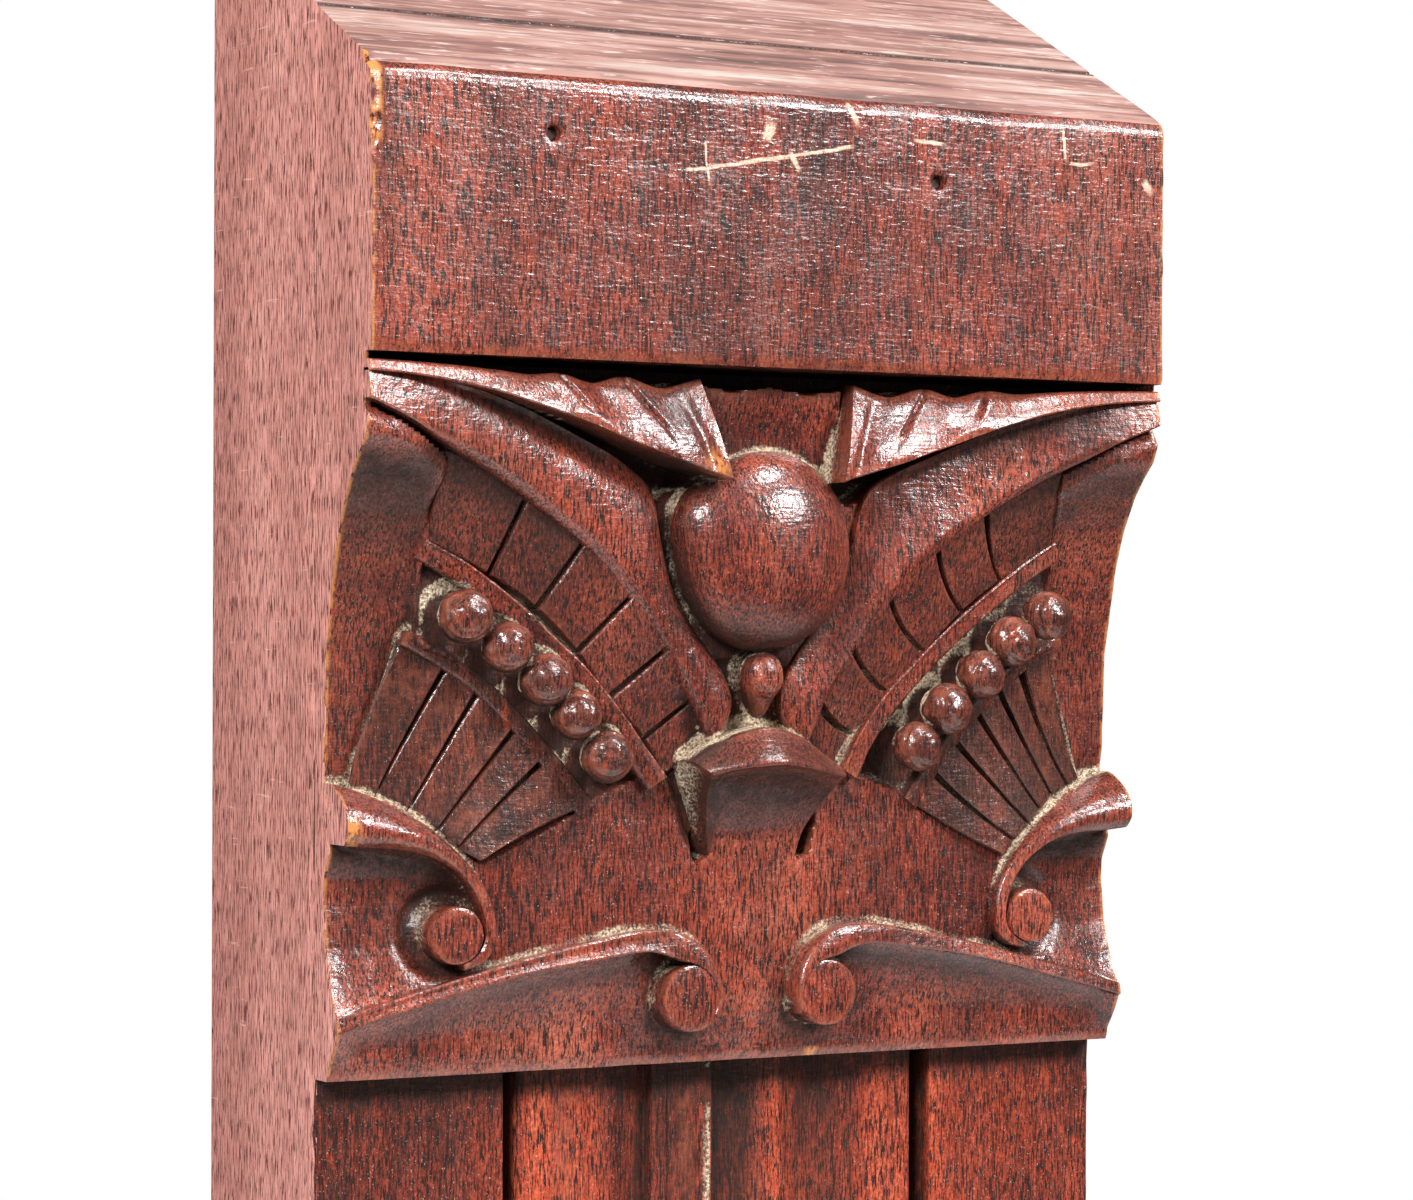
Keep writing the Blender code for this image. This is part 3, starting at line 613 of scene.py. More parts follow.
def build_foot_scroll(side, suffix):
    """The long lower ribbon that rises to the middle and curls round its eye."""
    rows = ((100, 13.6, 12.4, 100, 10.8, 12.9), (90, 16.4, 12.9, 90, 13.6, 13.6),
            (80, 19.1, 13.4, 80, 16.1, 14.2), (70, 21.7, 14.0, 70, 18.8, 14.8),
            (60, 24.2, 14.6, 60, 21.1, 15.4), (50, 26.4, 15.2, 50, 22.9, 15.9),
            (40, 28.3, 15.8, 40, 24.3, 16.5), (32.5, 29.7, 16.2, 33, 25.3, 16.9),
            (26.5, 30.2, 16.6, 28, 25.6, 17.2), (21.0, 29.6, 16.8, 24, 24.8, 17.4),
            (16.0, 27.4, 17.0, 20.4, 23.4, 17.4), (12.2, 23.6, 17.0, 16.2, 22.2, 17.4),
            (9.9, 18.8, 17.0, 12.6, 19.6, 17.4), (9.5, 14.4, 16.9, 10.8, 15.4, 17.3),
            (10.6, 10.4, 16.8, 12.0, 11.6, 17.2))

    def shape(t, u, x, up):
        hollow = -0.7 * np.sin(np.pi * u) * (1 - ramp(t, 0.5, 0.8)) if side < 0 else 0.0
        return hollow + 0.5 * np.sin(np.pi * u) * ramp(t, 0.4, 0.7)

    piece = carved("foot_scroll_" + suffix)
    piece.add(ribbon(rows, shape, SCROLL_FOOT, side, spacing=0.7, across=10, seed=59))
    across, up, radius = FOOT_EYE
    piece.add(turned((across, up), ((0.3, 17.5), (2.5, 17.5), (5.0, 17.4), (radius - 0.8, 17.2),
                                    (radius - 0.2, 17.0), (radius, 16.5), (radius, 14.8),
                                    (radius, 12.0), (radius + 0.2, SCROLL_FOOT)), side,
                     wobble=0.012))


def build_ball():
    """The ball boss, a little square and fuller at its left shoulder."""
    rings = rounded(BALL, BALL_RADII, sides=112, stacks=72, power=2.12,
                    dents=((16.0, 0.012), (6.0, 0.003)), seed=61)
    x, up = rings[..., 0], rings[..., 2]
    shoulder = np.exp(-((x + 21) / 9.0) ** 2 - ((up - 121) / 9.0) ** 2)
    rings[..., 0] -= 2.2 * shoulder
    rings[..., 2] += 1.2 * shoulder
    piece = carved("ball_boss")
    piece.add(rings)


def build_bud():
    """The small pointed bud under the ball."""
    rings = rounded((0.0, 16.5, 85.4), (4.6, 4.8, 5.6), sides=48, stacks=32, power=2.3,
                    dents=((2.0, 0.03), (1.0, 0.015)), seed=63)
    up = rings[..., 2]
    taper = 1 - 0.55 * ramp(-up, -84.5, -79.5)
    rings[..., 0] *= taper
    rings[..., 2] -= 3.4 * ramp(-up, -85.0, -79.5)
    rings[..., 1] -= 2.0 * ramp(-up, -84.5, -79.5)
    piece = carved("bud_drop")
    piece.add(rings)


def build_beads():
    """Five round beads a side, faceted by the gouge."""
    for side, suffix in SIDES:
        for number, (across, up) in enumerate(BEADS[suffix], 1):
            seed = 70 + 7 * number + (50 if side > 0 else 0)
            size = BEAD_RADIUS * (1.02 + 0.03 * math.sin(2.3 * seed))
            piece = carved("bead_%s_%d" % (suffix, number), "dark_varnish")
            centre = (across, BEAD_DEPTH + 0.4 * math.sin(seed), up)
            piece.add(rounded(centre, (size, size, size), side, sides=56, stacks=40,
                              power=2.05, dents=((3.2, 0.05), (1.5, 0.03), (0.7, 0.008)),
                              seed=seed, behind=0.9))


def build_keystone():
    """The hood in the middle: an up-facing arch over a hollow that runs out below."""
    crown = ((-18.6, 67.0, 19.0), (-12.5, 70.9, 20.3), (-6.5, 73.2, 21.4), (0, 74.3, 21.8),
             (7.5, 72.2, 21.4), (14.0, 68.4, 20.0), (19.6, 65.0, 19.2))
    lip = ((-15.8, 64.4, 22.6), (-11.6, 65.9, 25.2), (-7.0, 66.7, 27.2), (-1.0, 67.2, 28.2),
           (5.0, 66.5, 27.2), (11.4, 65.2, 25.0), (19.0, 63.6, 21.6))
    hollow = ((1.2, -14.9, 18.7, 0.84), (4.0, -13.9, 17.9, 0.52), (8.0, -12.5, 16.0, 0.25),
              (12.0, -11.5, 13.8, 0.085), (16.0, -10.9, 12.4, 0.028), (20.0, -10.2, 11.4, 0.004))
    floor, rim = 11.4, 64.0                    # the ground's depth, and the lip's outer ends
    lip = np.array(lip)
    share = (lip[:, 0] - lip[0, 0]) / (lip[-1, 0] - lip[0, 0])
    lines = [np.array(crown), lip]
    for drop, left, right, keep in hollow:
        across = left + (right - left) * share
        up = lip[:, 1] - drop - (lip[:, 1] - rim) * min(1.0, drop / 8.0)
        lines.append(np.column_stack([across, up, floor + (lip[:, 2] - floor) * keep]))
    columns = 60
    lines = np.array([spline_at(line, np.linspace(0, len(lip) - 1, columns)) for line in lines])
    down = np.concatenate([np.linspace(0, 1, 14), np.linspace(1, len(lines) - 1, 44)[1:]])
    point = spline_at(lines.reshape(len(lines), -1), down)
    point = point.reshape(len(down), columns, 3).transpose(1, 0, 2)[..., [0, 2, 1]]
    point[..., 1] += 0.12 * lumps(point[..., 0], point[..., 2], 3.0, 65)
    piece = Piece("keystone_hood", ["keystone_shell"], "varnished_mahogany")
    piece.add(section_rings(point, 4.0))


# ---------------------------------------------------------------- shaft

# Across, then how far the moulding lies behind the face of the post.
STRIP = ((-STRIP_HALF, 2.9), (-50.4, 1.9), (-48.5, 1.1), (-44.0, 0.45), (-36.0, 0.4), (-30, 0.8),
         (-26.0, 1.7), (-22.5, 3.2), (-20.0, 4.2), (-18.6, 4.7), (-17.6, 4.5), (-17.2, 2.4),
         (-16.2, 1.8), (-13.2, 1.7), (-12.6, 1.5), (-2.9, 1.5), (-2.5, 2.0), (-2.4, 4.6),
         (-1.0, 5.2), (2.0, 5.3), (5.0, 4.8), (8.0, 3.8), (11.5, 2.0), (12.6, 1.4), (15.0, 1.2),
         (17.0, 2.0), (20.0, 3.3), (24.0, 4.3), (28.5, 4.6), (32.5, 3.9), (36.0, 2.9),
         (40.0, 1.7), (44.0, 0.9), (48.5, 0.7), (50.4, 1.4), (STRIP_HALF, 2.9))


def build_post():
    """The thick back board with its plough, worn arrises and sloped end."""
    front = []
    for x in cuts(PLOUGH_HALF + 0.3, HALF - 1.2, 1.4):
        front.append((x, 0.0))
    front += [(HALF - 0.8, -0.05), (HALF - 0.35, -0.25), (HALF - 0.08, -0.6), (HALF, -1.1)]
    side = [(HALF, -d) for d in cuts(2.5, -BACK_DEPTH - 2.0, 2.6)]
    back = [(HALF, BACK_DEPTH + 1.0), (HALF - 0.3, BACK_DEPTH + 0.3), (HALF - 1.0, BACK_DEPTH)]
    back += [(x, BACK_DEPTH) for x in np.linspace(HALF - 6, 0, 12)]
    plough = [(x, -PLOUGH_DEPTH) for x in (0.0, 20.0, 40.0, PLOUGH_HALF - 0.4)]
    plough += [(PLOUGH_HALF, depth) for depth in (-PLOUGH_DEPTH + 0.4, -8.0, -3.0, -0.5)]
    plough += [(PLOUGH_HALF + 0.1, -0.15)]
    half = plough + front + side + back
    loop = np.array([(-x, d) for x, d in half[::-1]][1:] + half[1:], float)
    start, stop = PLOUGH_TOP + 0.4, 100.0
    low = cuts(FOOT_UP, PLOUGH_TOP, 2.6, [(-45, 6, 1.5)])
    share = (cuts(start, stop, 3.0) - start) / (stop - start)
    rings = []
    for up in low:
        rings.append(np.column_stack([loop, np.full(len(loop), up)]))
    flat = loop.copy()
    inside = (np.abs(loop[:, 0]) < PLOUGH_HALF + 0.2) & (loop[:, 1] > BACK_DEPTH + 1)
    flat[inside, 1] = 0.0
    top = CAP_TOP + (CAP_DEPTH - flat[:, 1]) * TOP_SLOPE
    for part in share:
        rings.append(np.column_stack([flat, start + (top - start) * part]))
    rings = np.array(rings)
    x, depth, up = rings[..., 0], rings[..., 1], rings[..., 2]
    outer = np.abs(x) > HALF - 0.5
    nick = 0.35 * (1 + lumps(up, 7.0 * x, 6.0, 33)) + 1.1 * ramp(lumps(up, x, 2.3, 34), 0.6, 1)
    corner = outer & (depth > -3.0)
    rings[..., 0] = np.where(corner, x - np.sign(x) * nick * ramp(depth, -3.0, -0.1), x)
    rings[..., 1] = np.where(depth > -1.2, np.minimum(depth - 0.06 - 0.06 * lumps(x, up, 9.0, 35),
                                                      -0.02), depth)
    piece = Piece("post_board", ["back_post"], "bare_mahogany")
    piece.add(rings, relief=False)
    SHELLS.append(rings[: len(low)])


def build_strip():
    """The moulded strip that lies in the plough."""
    line = spline_at(STRIP, np.linspace(0, len(STRIP) - 1, 3 * len(STRIP)))
    front = np.column_stack([line[:, 0], -np.clip(line[:, 1], 0.3, None)])
    loop = np.vstack([front, [(STRIP_HALF, -8.0), (STRIP_HALF, -STRIP_BACK),
                              (0.0, -STRIP_BACK), (-STRIP_HALF, -STRIP_BACK),
                              (-STRIP_HALF, -8.0)]])
    rings = []
    for up in cuts(FOOT_UP, 10.0, 2.4, [(-45, 3, 1.2)]):
        rings.append(np.column_stack([loop, np.full(len(loop), up)]))
    rings = np.array(rings)
    x, up = rings[..., 0], rings[..., 2]
    front = rings[..., 1] > -7
    rings[..., 1] -= np.where(front, 0.12 * (1 + lumps(x, up * 0.3, 3.0, 37)), 0.0)
    piece = Piece("moulded_strip", ["centre_strip"], "varnished_mahogany")
    piece.add(rings)


def build_everything():
    """Make the shells of every piece."""
    build_capital()
    for side, suffix in SIDES:
        build_flap(side, suffix)
        build_band(side, suffix)
        build_rails(side, suffix)
        build_bricks(side, suffix)
        build_fan(side, suffix)
        build_side_scroll(side, suffix)
        build_foot_scroll(side, suffix)
    build_ball()
    build_bud()
    build_beads()
    build_keystone()
    build_post()
    build_strip()


# ---------------------------------------------------------------- dust, grime, painted shade and wear

CELL = 0.75
MAP_LOW = (-102.0, FOOT_UP - 2.0)
MAP_SIZE = (int(204 / CELL) + 1, int((232 - FOOT_UP) / CELL) + 1)


def halved(rings, axis):
    """Ring points with their midpoints along one axis put in between."""
    rings = np.moveaxis(rings, axis, 0)
    out = np.empty((2 * len(rings) - 1,) + rings.shape[1:])
    out[::2] = rings
    out[1::2] = (rings[:-1] + rings[1:]) / 2
    return np.moveaxis(out, 0, axis)


def relief_map():
    """Highest depth over a grid of cells, from every shell."""
    height = np.full((MAP_SIZE[1], MAP_SIZE[0]), -20.0)
    for rings in SHELLS:
        fine = halved(halved(rings, 0), 1)
        x, depth, up = (fine[..., k].ravel() for k in range(3))
        ix = np.clip(((x - MAP_LOW[0]) / CELL).round().astype(int), 0, MAP_SIZE[0] - 1)
        iy = np.clip(((up - MAP_LOW[1]) / CELL).round().astype(int), 0, MAP_SIZE[1] - 1)
        np.maximum.at(height, (iy, ix), depth)
    for _ in range(3):
        around = [np.roll(height, shift, axis) for axis in (0, 1) for shift in (-1, 1)]
        height = np.where(height < -19.0, np.max(around, axis=0), height)
    return height


def blurred(values, radius):
    """Gaussian blur with a radius in millimetres."""
    reach = int(math.ceil(2.5 * radius / CELL))
    weight = np.exp(-0.5 * (np.arange(-reach, reach + 1) * CELL / radius) ** 2)
    weight /= weight.sum()
    for axis in (0, 1):
        values = np.apply_along_axis(
            lambda line: np.convolve(np.pad(line, reach, "edge"), weight, "valid"), axis, values)
    return values


def sample(values, x, up):
    """Bilinear look-up in a map."""
    gx = np.clip((x - MAP_LOW[0]) / CELL, 0, MAP_SIZE[0] - 1.001)
    gy = np.clip((up - MAP_LOW[1]) / CELL, 0, MAP_SIZE[1] - 1.001)
    ix, iy = gx.astype(int), gy.astype(int)
    fx, fy = gx - ix, gy - iy
    return ((values[iy, ix] * (1 - fx) + values[iy, ix + 1] * fx) * (1 - fy)
            + (values[iy + 1, ix] * (1 - fx) + values[iy + 1, ix + 1] * fx) * fy)


# Where dust lies thickest: (across, up) on both sides, with the reach along each.
DUST_HEAPS = ((8, 71, 20, 7), (86, 60, 13, 9), (70, 47, 7, 7), (52, 84, 22, 14),
              (12, 132, 14, 6), (13, 45, 3, 2))


def weathering_and_shade(maps, points, dusty=True):
    """Dust, grime with painted shade, and wear of each point, from 0 to 1.

    Dust lies on shelves and in corners; the grime value is mostly painted shade,
    darker under overhangs, in broad hollows, in the plough and below the capital,
    with soot there; wear shows on what stands proud.  maps are the relief and two
    blurred copies.
    """
    x, depth, up = points[:, 0], points[:, 1], points[:, 2]
    height, near, wide = maps
    shelf = np.max([sample(height, x, up - drop) for drop in (0.7, 1.3, 2.0)], axis=0) - depth
    roof = np.max([sample(height, x, up + rise) for rise in (0.8, 1.8, 3.0)], axis=0) - depth
    cavity = sample(near, x, up) - depth
    broad = sample(wide, x, up) - depth
    patchy = ramp(lumps(x, up, 9.0, 91) + 0.5 * lumps(x, up, 3.0, 92), -0.5, 0.6)
    heaps = [np.exp(-((np.abs(x) - at) / width) ** 2 - ((up - level) / tall) ** 2)
             for at, level, width, tall in DUST_HEAPS]
    patchy = np.clip(0.25 + 0.50 * patchy + 0.7 * np.max(heaps, axis=0), 0, 1.15)
    dust = ramp(shelf, 1.0, 4.2) * ramp(cavity, 0.3, 1.7) * patchy
    from_eye = np.hypot(np.abs(x) - SCROLL_EYE[0], up - SCROLL_EYE[1])
    by_hood = np.exp(-((np.abs(x) - 15) / 6.5) ** 2 - ((up - 55) / 8.5) ** 2)
    dust = dust * (1 - 0.5 * ramp(-from_eye, -12.0, -10.0)) * (1 - 0.85 * by_hood)
    dust = dust * (1 - ramp(roof, 8.0, 13.0)) * (up > 0) * float(dusty)
    strip_edge = np.exp(-((x + 2.8) / 0.4) ** 2) * (up < 0) * (depth < 0)
    dust = np.maximum(dust, 0.8 * strip_edge * ramp(lumps(x, 0.3 * up, 2.0, 98), -0.7, 0.3))
    # painted shadow under whatever stands just above a point
    shadow = np.mean([ramp(sample(height, x, up + rise) - depth, 0.8, 5.0)
                      for rise in np.arange(0.6, 7.1, 0.8)], axis=0)
    # painted shadow of the capital on the post just below it, uneven like soot
    soot_and_shadow = (up < 0) * np.exp(np.minimum(up, 0) / 5.0) * (0.8 + 0.5 * lumps(x, up, 4.0, 93))
    # painted shade, darker the deeper a point lies in the plough and the strip's hollows
    plough = (up < 0) * ramp(-depth, 1.6, 5.0) * 0.75
    # this sum is mostly painted shade: in broad hollows (broad), under overhangs, below the
    # capital and in the plough
    grime_and_shade = 0.75 * ramp(broad, 0.8, 5.0) + 1.1 * shadow + soot_and_shadow + plough
    wear = ramp(-cavity, 0.22, 1.2)
    return dust, np.clip(grime_and_shade, 0, 1), wear


def soiling_and_shade(name, points):
    """Extra darkening: painted shade in hollows, pits and under the ball, dirt
    streaks, and patches where the old polish has gone nearly black.
    """
    x, depth, up = points[:, 0], points[:, 1], points[:, 2]
    a = np.abs(x)
    drift = 0.5 + 0.5 * lumps(x, up, 11.0, 94)
    soil_and_shade = np.zeros(len(points))
    if name.startswith("brick_course"):
        # the bricks are made darker all over in patches, more further out
        soil_and_shade += 0.30 + 0.35 * drift * ramp(a, 15, 60)
    elif name.startswith("leaf_fan"):
        # the leaf fan is made darker in patches
        soil_and_shade += 0.12 + 0.45 * drift
    elif name == "keystone_hood":
        # painted shade: the hood's hollow front darker towards its lip, and near black on its
        # left side and wall
        soil_and_shade += 0.52 * ramp(up, 50, 66) + 1.0 * ramp(-x, 8.5, 10.5) * (depth < 21)
    elif name == "ball_boss_carved":
        # painted shade on the lower part of the ball; its left side is darker in patches
        soil_and_shade += 0.35 * ramp(-up, -104, -92) + 0.25 * ramp(-x, 4, 20) * drift
    elif name == "moulded_strip":
        # painted shade in the two deep hollows of the moulding; the streaks on the next line are
        # real dirt
        soil_and_shade += 0.45 * np.exp(-((x - 3) / 7.0) ** 2) + 0.4 * np.exp(-((x + 15) / 5.0) ** 2)
        soil_and_shade += 0.35 * ramp(lumps(x, 0.06 * up, 2.2, 95), 0.1, 0.9)
    elif name == "post_board":
        soil_and_shade += 0.1 * ramp(lumps(x, 0.06 * up, 3.0, 96), 0.1, 0.9)
    elif name == "capital_carving":
        # the field round the side scroll is darker in patches, and the coved outer field darker,
        # much more on the left than on the right
        field = ramp(a, 70, 78) * ramp(up, 17, 24) * (1 - ramp(up, 44, 50))
        outer = ramp(a, 79, 82) * ramp(up, 58, 70) * (1 - ramp(up, 128, 136))
        soil_and_shade += 0.5 * field * drift + (0.22 - 0.16 * np.sign(x)) * outer
        soil_and_shade += (0.08 + 0.16 * ramp(lumps(x, up, 26.0, 97), 0.0, 0.8)) * (up > CAP_UNDER)
        # painted shade: near black in the comma pits and the undercut beside the hood
        pits = np.exp(-((a - 13.5) / 3.5) ** 2 - ((up - 52) / 5.0) ** 2)
        soil_and_shade += 1.4 * pits * (depth < 11.2)
        # painted shade in the deep channel behind the beads
        beads = ramp(a, 28, 34) * (1 - ramp(a, 52, 58)) * (depth < 9.6) * ramp(up, 56, 60)
        soil_and_shade += 0.7 * beads * (1 - ramp(up, 76, 84))
    return soil_and_shade


def chipping(points):
    """Where the varnish has chipped to bright orange wood."""
    x, depth, up = points[:, 0], points[:, 1], points[:, 2]
    cap = ramp(-x, HALF - 2.6, HALF - 1.2) * ramp(up, 192, 198) * (depth > 20)
    nose = ramp(-x, HALF - 4.0, HALF - 2.0) * ramp(up, 47, 49) * (1 - ramp(up, 54, 57))
    nose = nose * (depth > 11)
    arris = 0.62 * ramp(np.abs(x), HALF - 0.9, HALF - 0.3) * (up > 1) * (depth > 3.5)
    tip = (depth > 24) * np.exp(-((x + 17.5) / 2.2) ** 2 - ((up - 131.5) / 2.6) ** 2)
    foot = np.exp(-((x - 18.5) / 1.3) ** 2) * (up < 1.6) * (up > -1) * (depth > 3)
    return np.clip(np.max([cap, nose * 0.9, arris, tip, foot], axis=0), 0, 1)


# ---------------------------------------------------------------- materials

class Shade:
    """A few words for writing node materials."""

    def __init__(self, name):
        self.material = bpy.data.materials.new(name)
        self.material.use_nodes = True
        self.tree = self.material.node_tree
        self.shader = self.tree.nodes["Principled BSDF"]
        self.place = self.node("ShaderNodeTexCoord").outputs["Object"]

    def node(self, kind, **values):
        """A new node with some of its properties set."""
        made = self.tree.nodes.new(kind)
        for key, value in values.items():
            setattr(made, key, value)
        return made

    def put(self, socket, value):
        """Set an input: linked to an output, or to a plain value."""
        if isinstance(value, bpy.types.NodeSocket):
            self.tree.links.new(value, socket)
        else:
            socket.default_value = value

    def give(self, name, value):
        """Set an input of the surface shader by its name."""
        self.put(self.shader.inputs[name], value)

    def noise(self, scale, detail=2.0, rough=0.5, shift=0.0):
        """Noise stretched along the axes; scale is lumps to a metre."""
        mapping = self.node("ShaderNodeMapping")
        self.put(mapping.inputs["Vector"], self.place)
        mapping.inputs["Scale"].default_value = scale
        mapping.inputs["Location"].default_value = (shift, shift * 0.7, shift * 1.3)
        noise = self.node("ShaderNodeTexNoise")
        self.put(noise.inputs["Vector"], mapping.outputs["Vector"])
        noise.inputs["Scale"].default_value = 1.0
        noise.inputs["Detail"].default_value = detail
        noise.inputs["Roughness"].default_value = rough
        return noise.outputs["Fac"]

    def attribute(self, name):
        """A weathering value of the mesh."""
        return self.node("ShaderNodeAttribute", attribute_name=name).outputs["Fac"]

    def math(self, operation, first, second=0.0, clamp=False):
        """A sum of the named kind on two values."""
        made = self.node("ShaderNodeMath", operation=operation, use_clamp=clamp)
        self.put(made.inputs[0], first)
        self.put(made.inputs[1], second)
        return made.outputs[0]

    def plus(self, first, second, clamp=False):
        return self.math("ADD", first, second, clamp)

    def less(self, first, second, clamp=False):
        return self.math("SUBTRACT", first, second, clamp)

    def times(self, first, second):
        return self.math("MULTIPLY", first, second)

    def step(self, value, low, high, start=0.0, stop=1.0):
        """Smooth step from start at low to stop at high."""
        made = self.node("ShaderNodeMapRange", interpolation_type="SMOOTHSTEP")
        self.put(made.inputs["Value"], value)
        for socket, number in (("From Min", low), ("From Max", high), ("To Min", start),
                               ("To Max", stop)):
            self.put(made.inputs[socket], number)
        return made.outputs["Result"]

    def blend(self, factor, first, second, kind="MIX"):
        """Mix two colours."""
        made = self.node("ShaderNodeMix", data_type="RGBA", blend_type=kind)
        self.put(made.inputs["Factor"], factor)
        self.put(made.inputs["A"], first)
        self.put(made.inputs["B"], second)
        return made.outputs["Result"]

    def colours(self, value, stops):
        """Colour ramp through (position, colour) stops."""
        made = self.node("ShaderNodeValToRGB")
        self.put(made.inputs["Fac"], value)
        band = made.color_ramp
        while len(band.elements) < len(stops):
            band.elements.new(0.5)
        for element, (at, colour) in zip(band.elements, stops):
            element.position = at
            element.color = (*colour, 1.0)
        return made.outputs["Color"]

    def bump(self, height, distance, strength=1.0, below=None):
        """Bumped normal; distance is in metres, and below is a bump under it."""
        made = self.node("ShaderNodeBump")
        self.put(made.inputs["Height"], height)
        made.inputs["Distance"].default_value = distance
        made.inputs["Strength"].default_value = strength
        if below is not None:
            self.put(made.inputs["Normal"], below)
        return made.outputs["Normal"]


DUST_COLOUR = (0.68, 0.56, 0.40, 1.0)
DUST_SHADE_COLOUR = (0.26, 0.165, 0.110, 1.0)
# near black: for grime and for painted shade in hollows and under overhangs
GRIME_AND_SHADE_COLOUR = (0.020, 0.011, 0.008, 1.0)
CHIP_COLOUR = (0.52, 0.20, 0.055, 1.0)
FLECK_COLOUR = (0.40, 0.055, 0.016, 1.0)
STAIN_COLOUR = (0.042, 0.014, 0.011, 1.0)
PORE_COLOUR = (0.010, 0.004, 0.003, 1.0)
SPECK_COLOUR = (0.55, 0.40, 0.33, 1.0)
WORN_COLOUR = (0.34, 0.085, 0.042, 1.0)
SCRATCH_COLOUR = (0.60, 0.40, 0.29, 1.0)


def scratch(shade, start, stop, width):
    """Mask of a thin scratch on the front between two (across, up) points."""
    origin = (start[0] * MM, 0.0, BASE_Z + start[1] * MM)
    run = np.array([(stop[0] - start[0]) * MM, (stop[1] - start[1]) * MM])
    length = float(np.hypot(*run))
    along = (run[0] / length, 0.0, run[1] / length)
    normal = (-run[1] / length, 0.0, run[0] / length)
    offset = shade.node("ShaderNodeVectorMath", operation="SUBTRACT")
    shade.put(offset.inputs[0], shade.place)
    offset.inputs[1].default_value = origin
    values = []
    for axis in (along, normal):
        dot = shade.node("ShaderNodeVectorMath", operation="DOT_PRODUCT")
        shade.put(dot.inputs[0], offset.outputs[0])
        dot.inputs[1].default_value = axis
        values.append(dot.outputs["Value"])
    wander = shade.times(shade.less(shade.noise((160, 160, 160), 2.0), 0.5), 0.0016)
    away = shade.math("ABSOLUTE", shade.plus(values[1], wander))
    thin = shade.step(away, width * MM * 0.4, width * MM, 1.0, 0.0)
    inside = shade.times(shade.step(values[0], -0.0006, 0.0006),
                         shade.step(values[0], length - 0.002, length + 0.001, 1.0, 0.0))
    return shade.times(thin, inside)


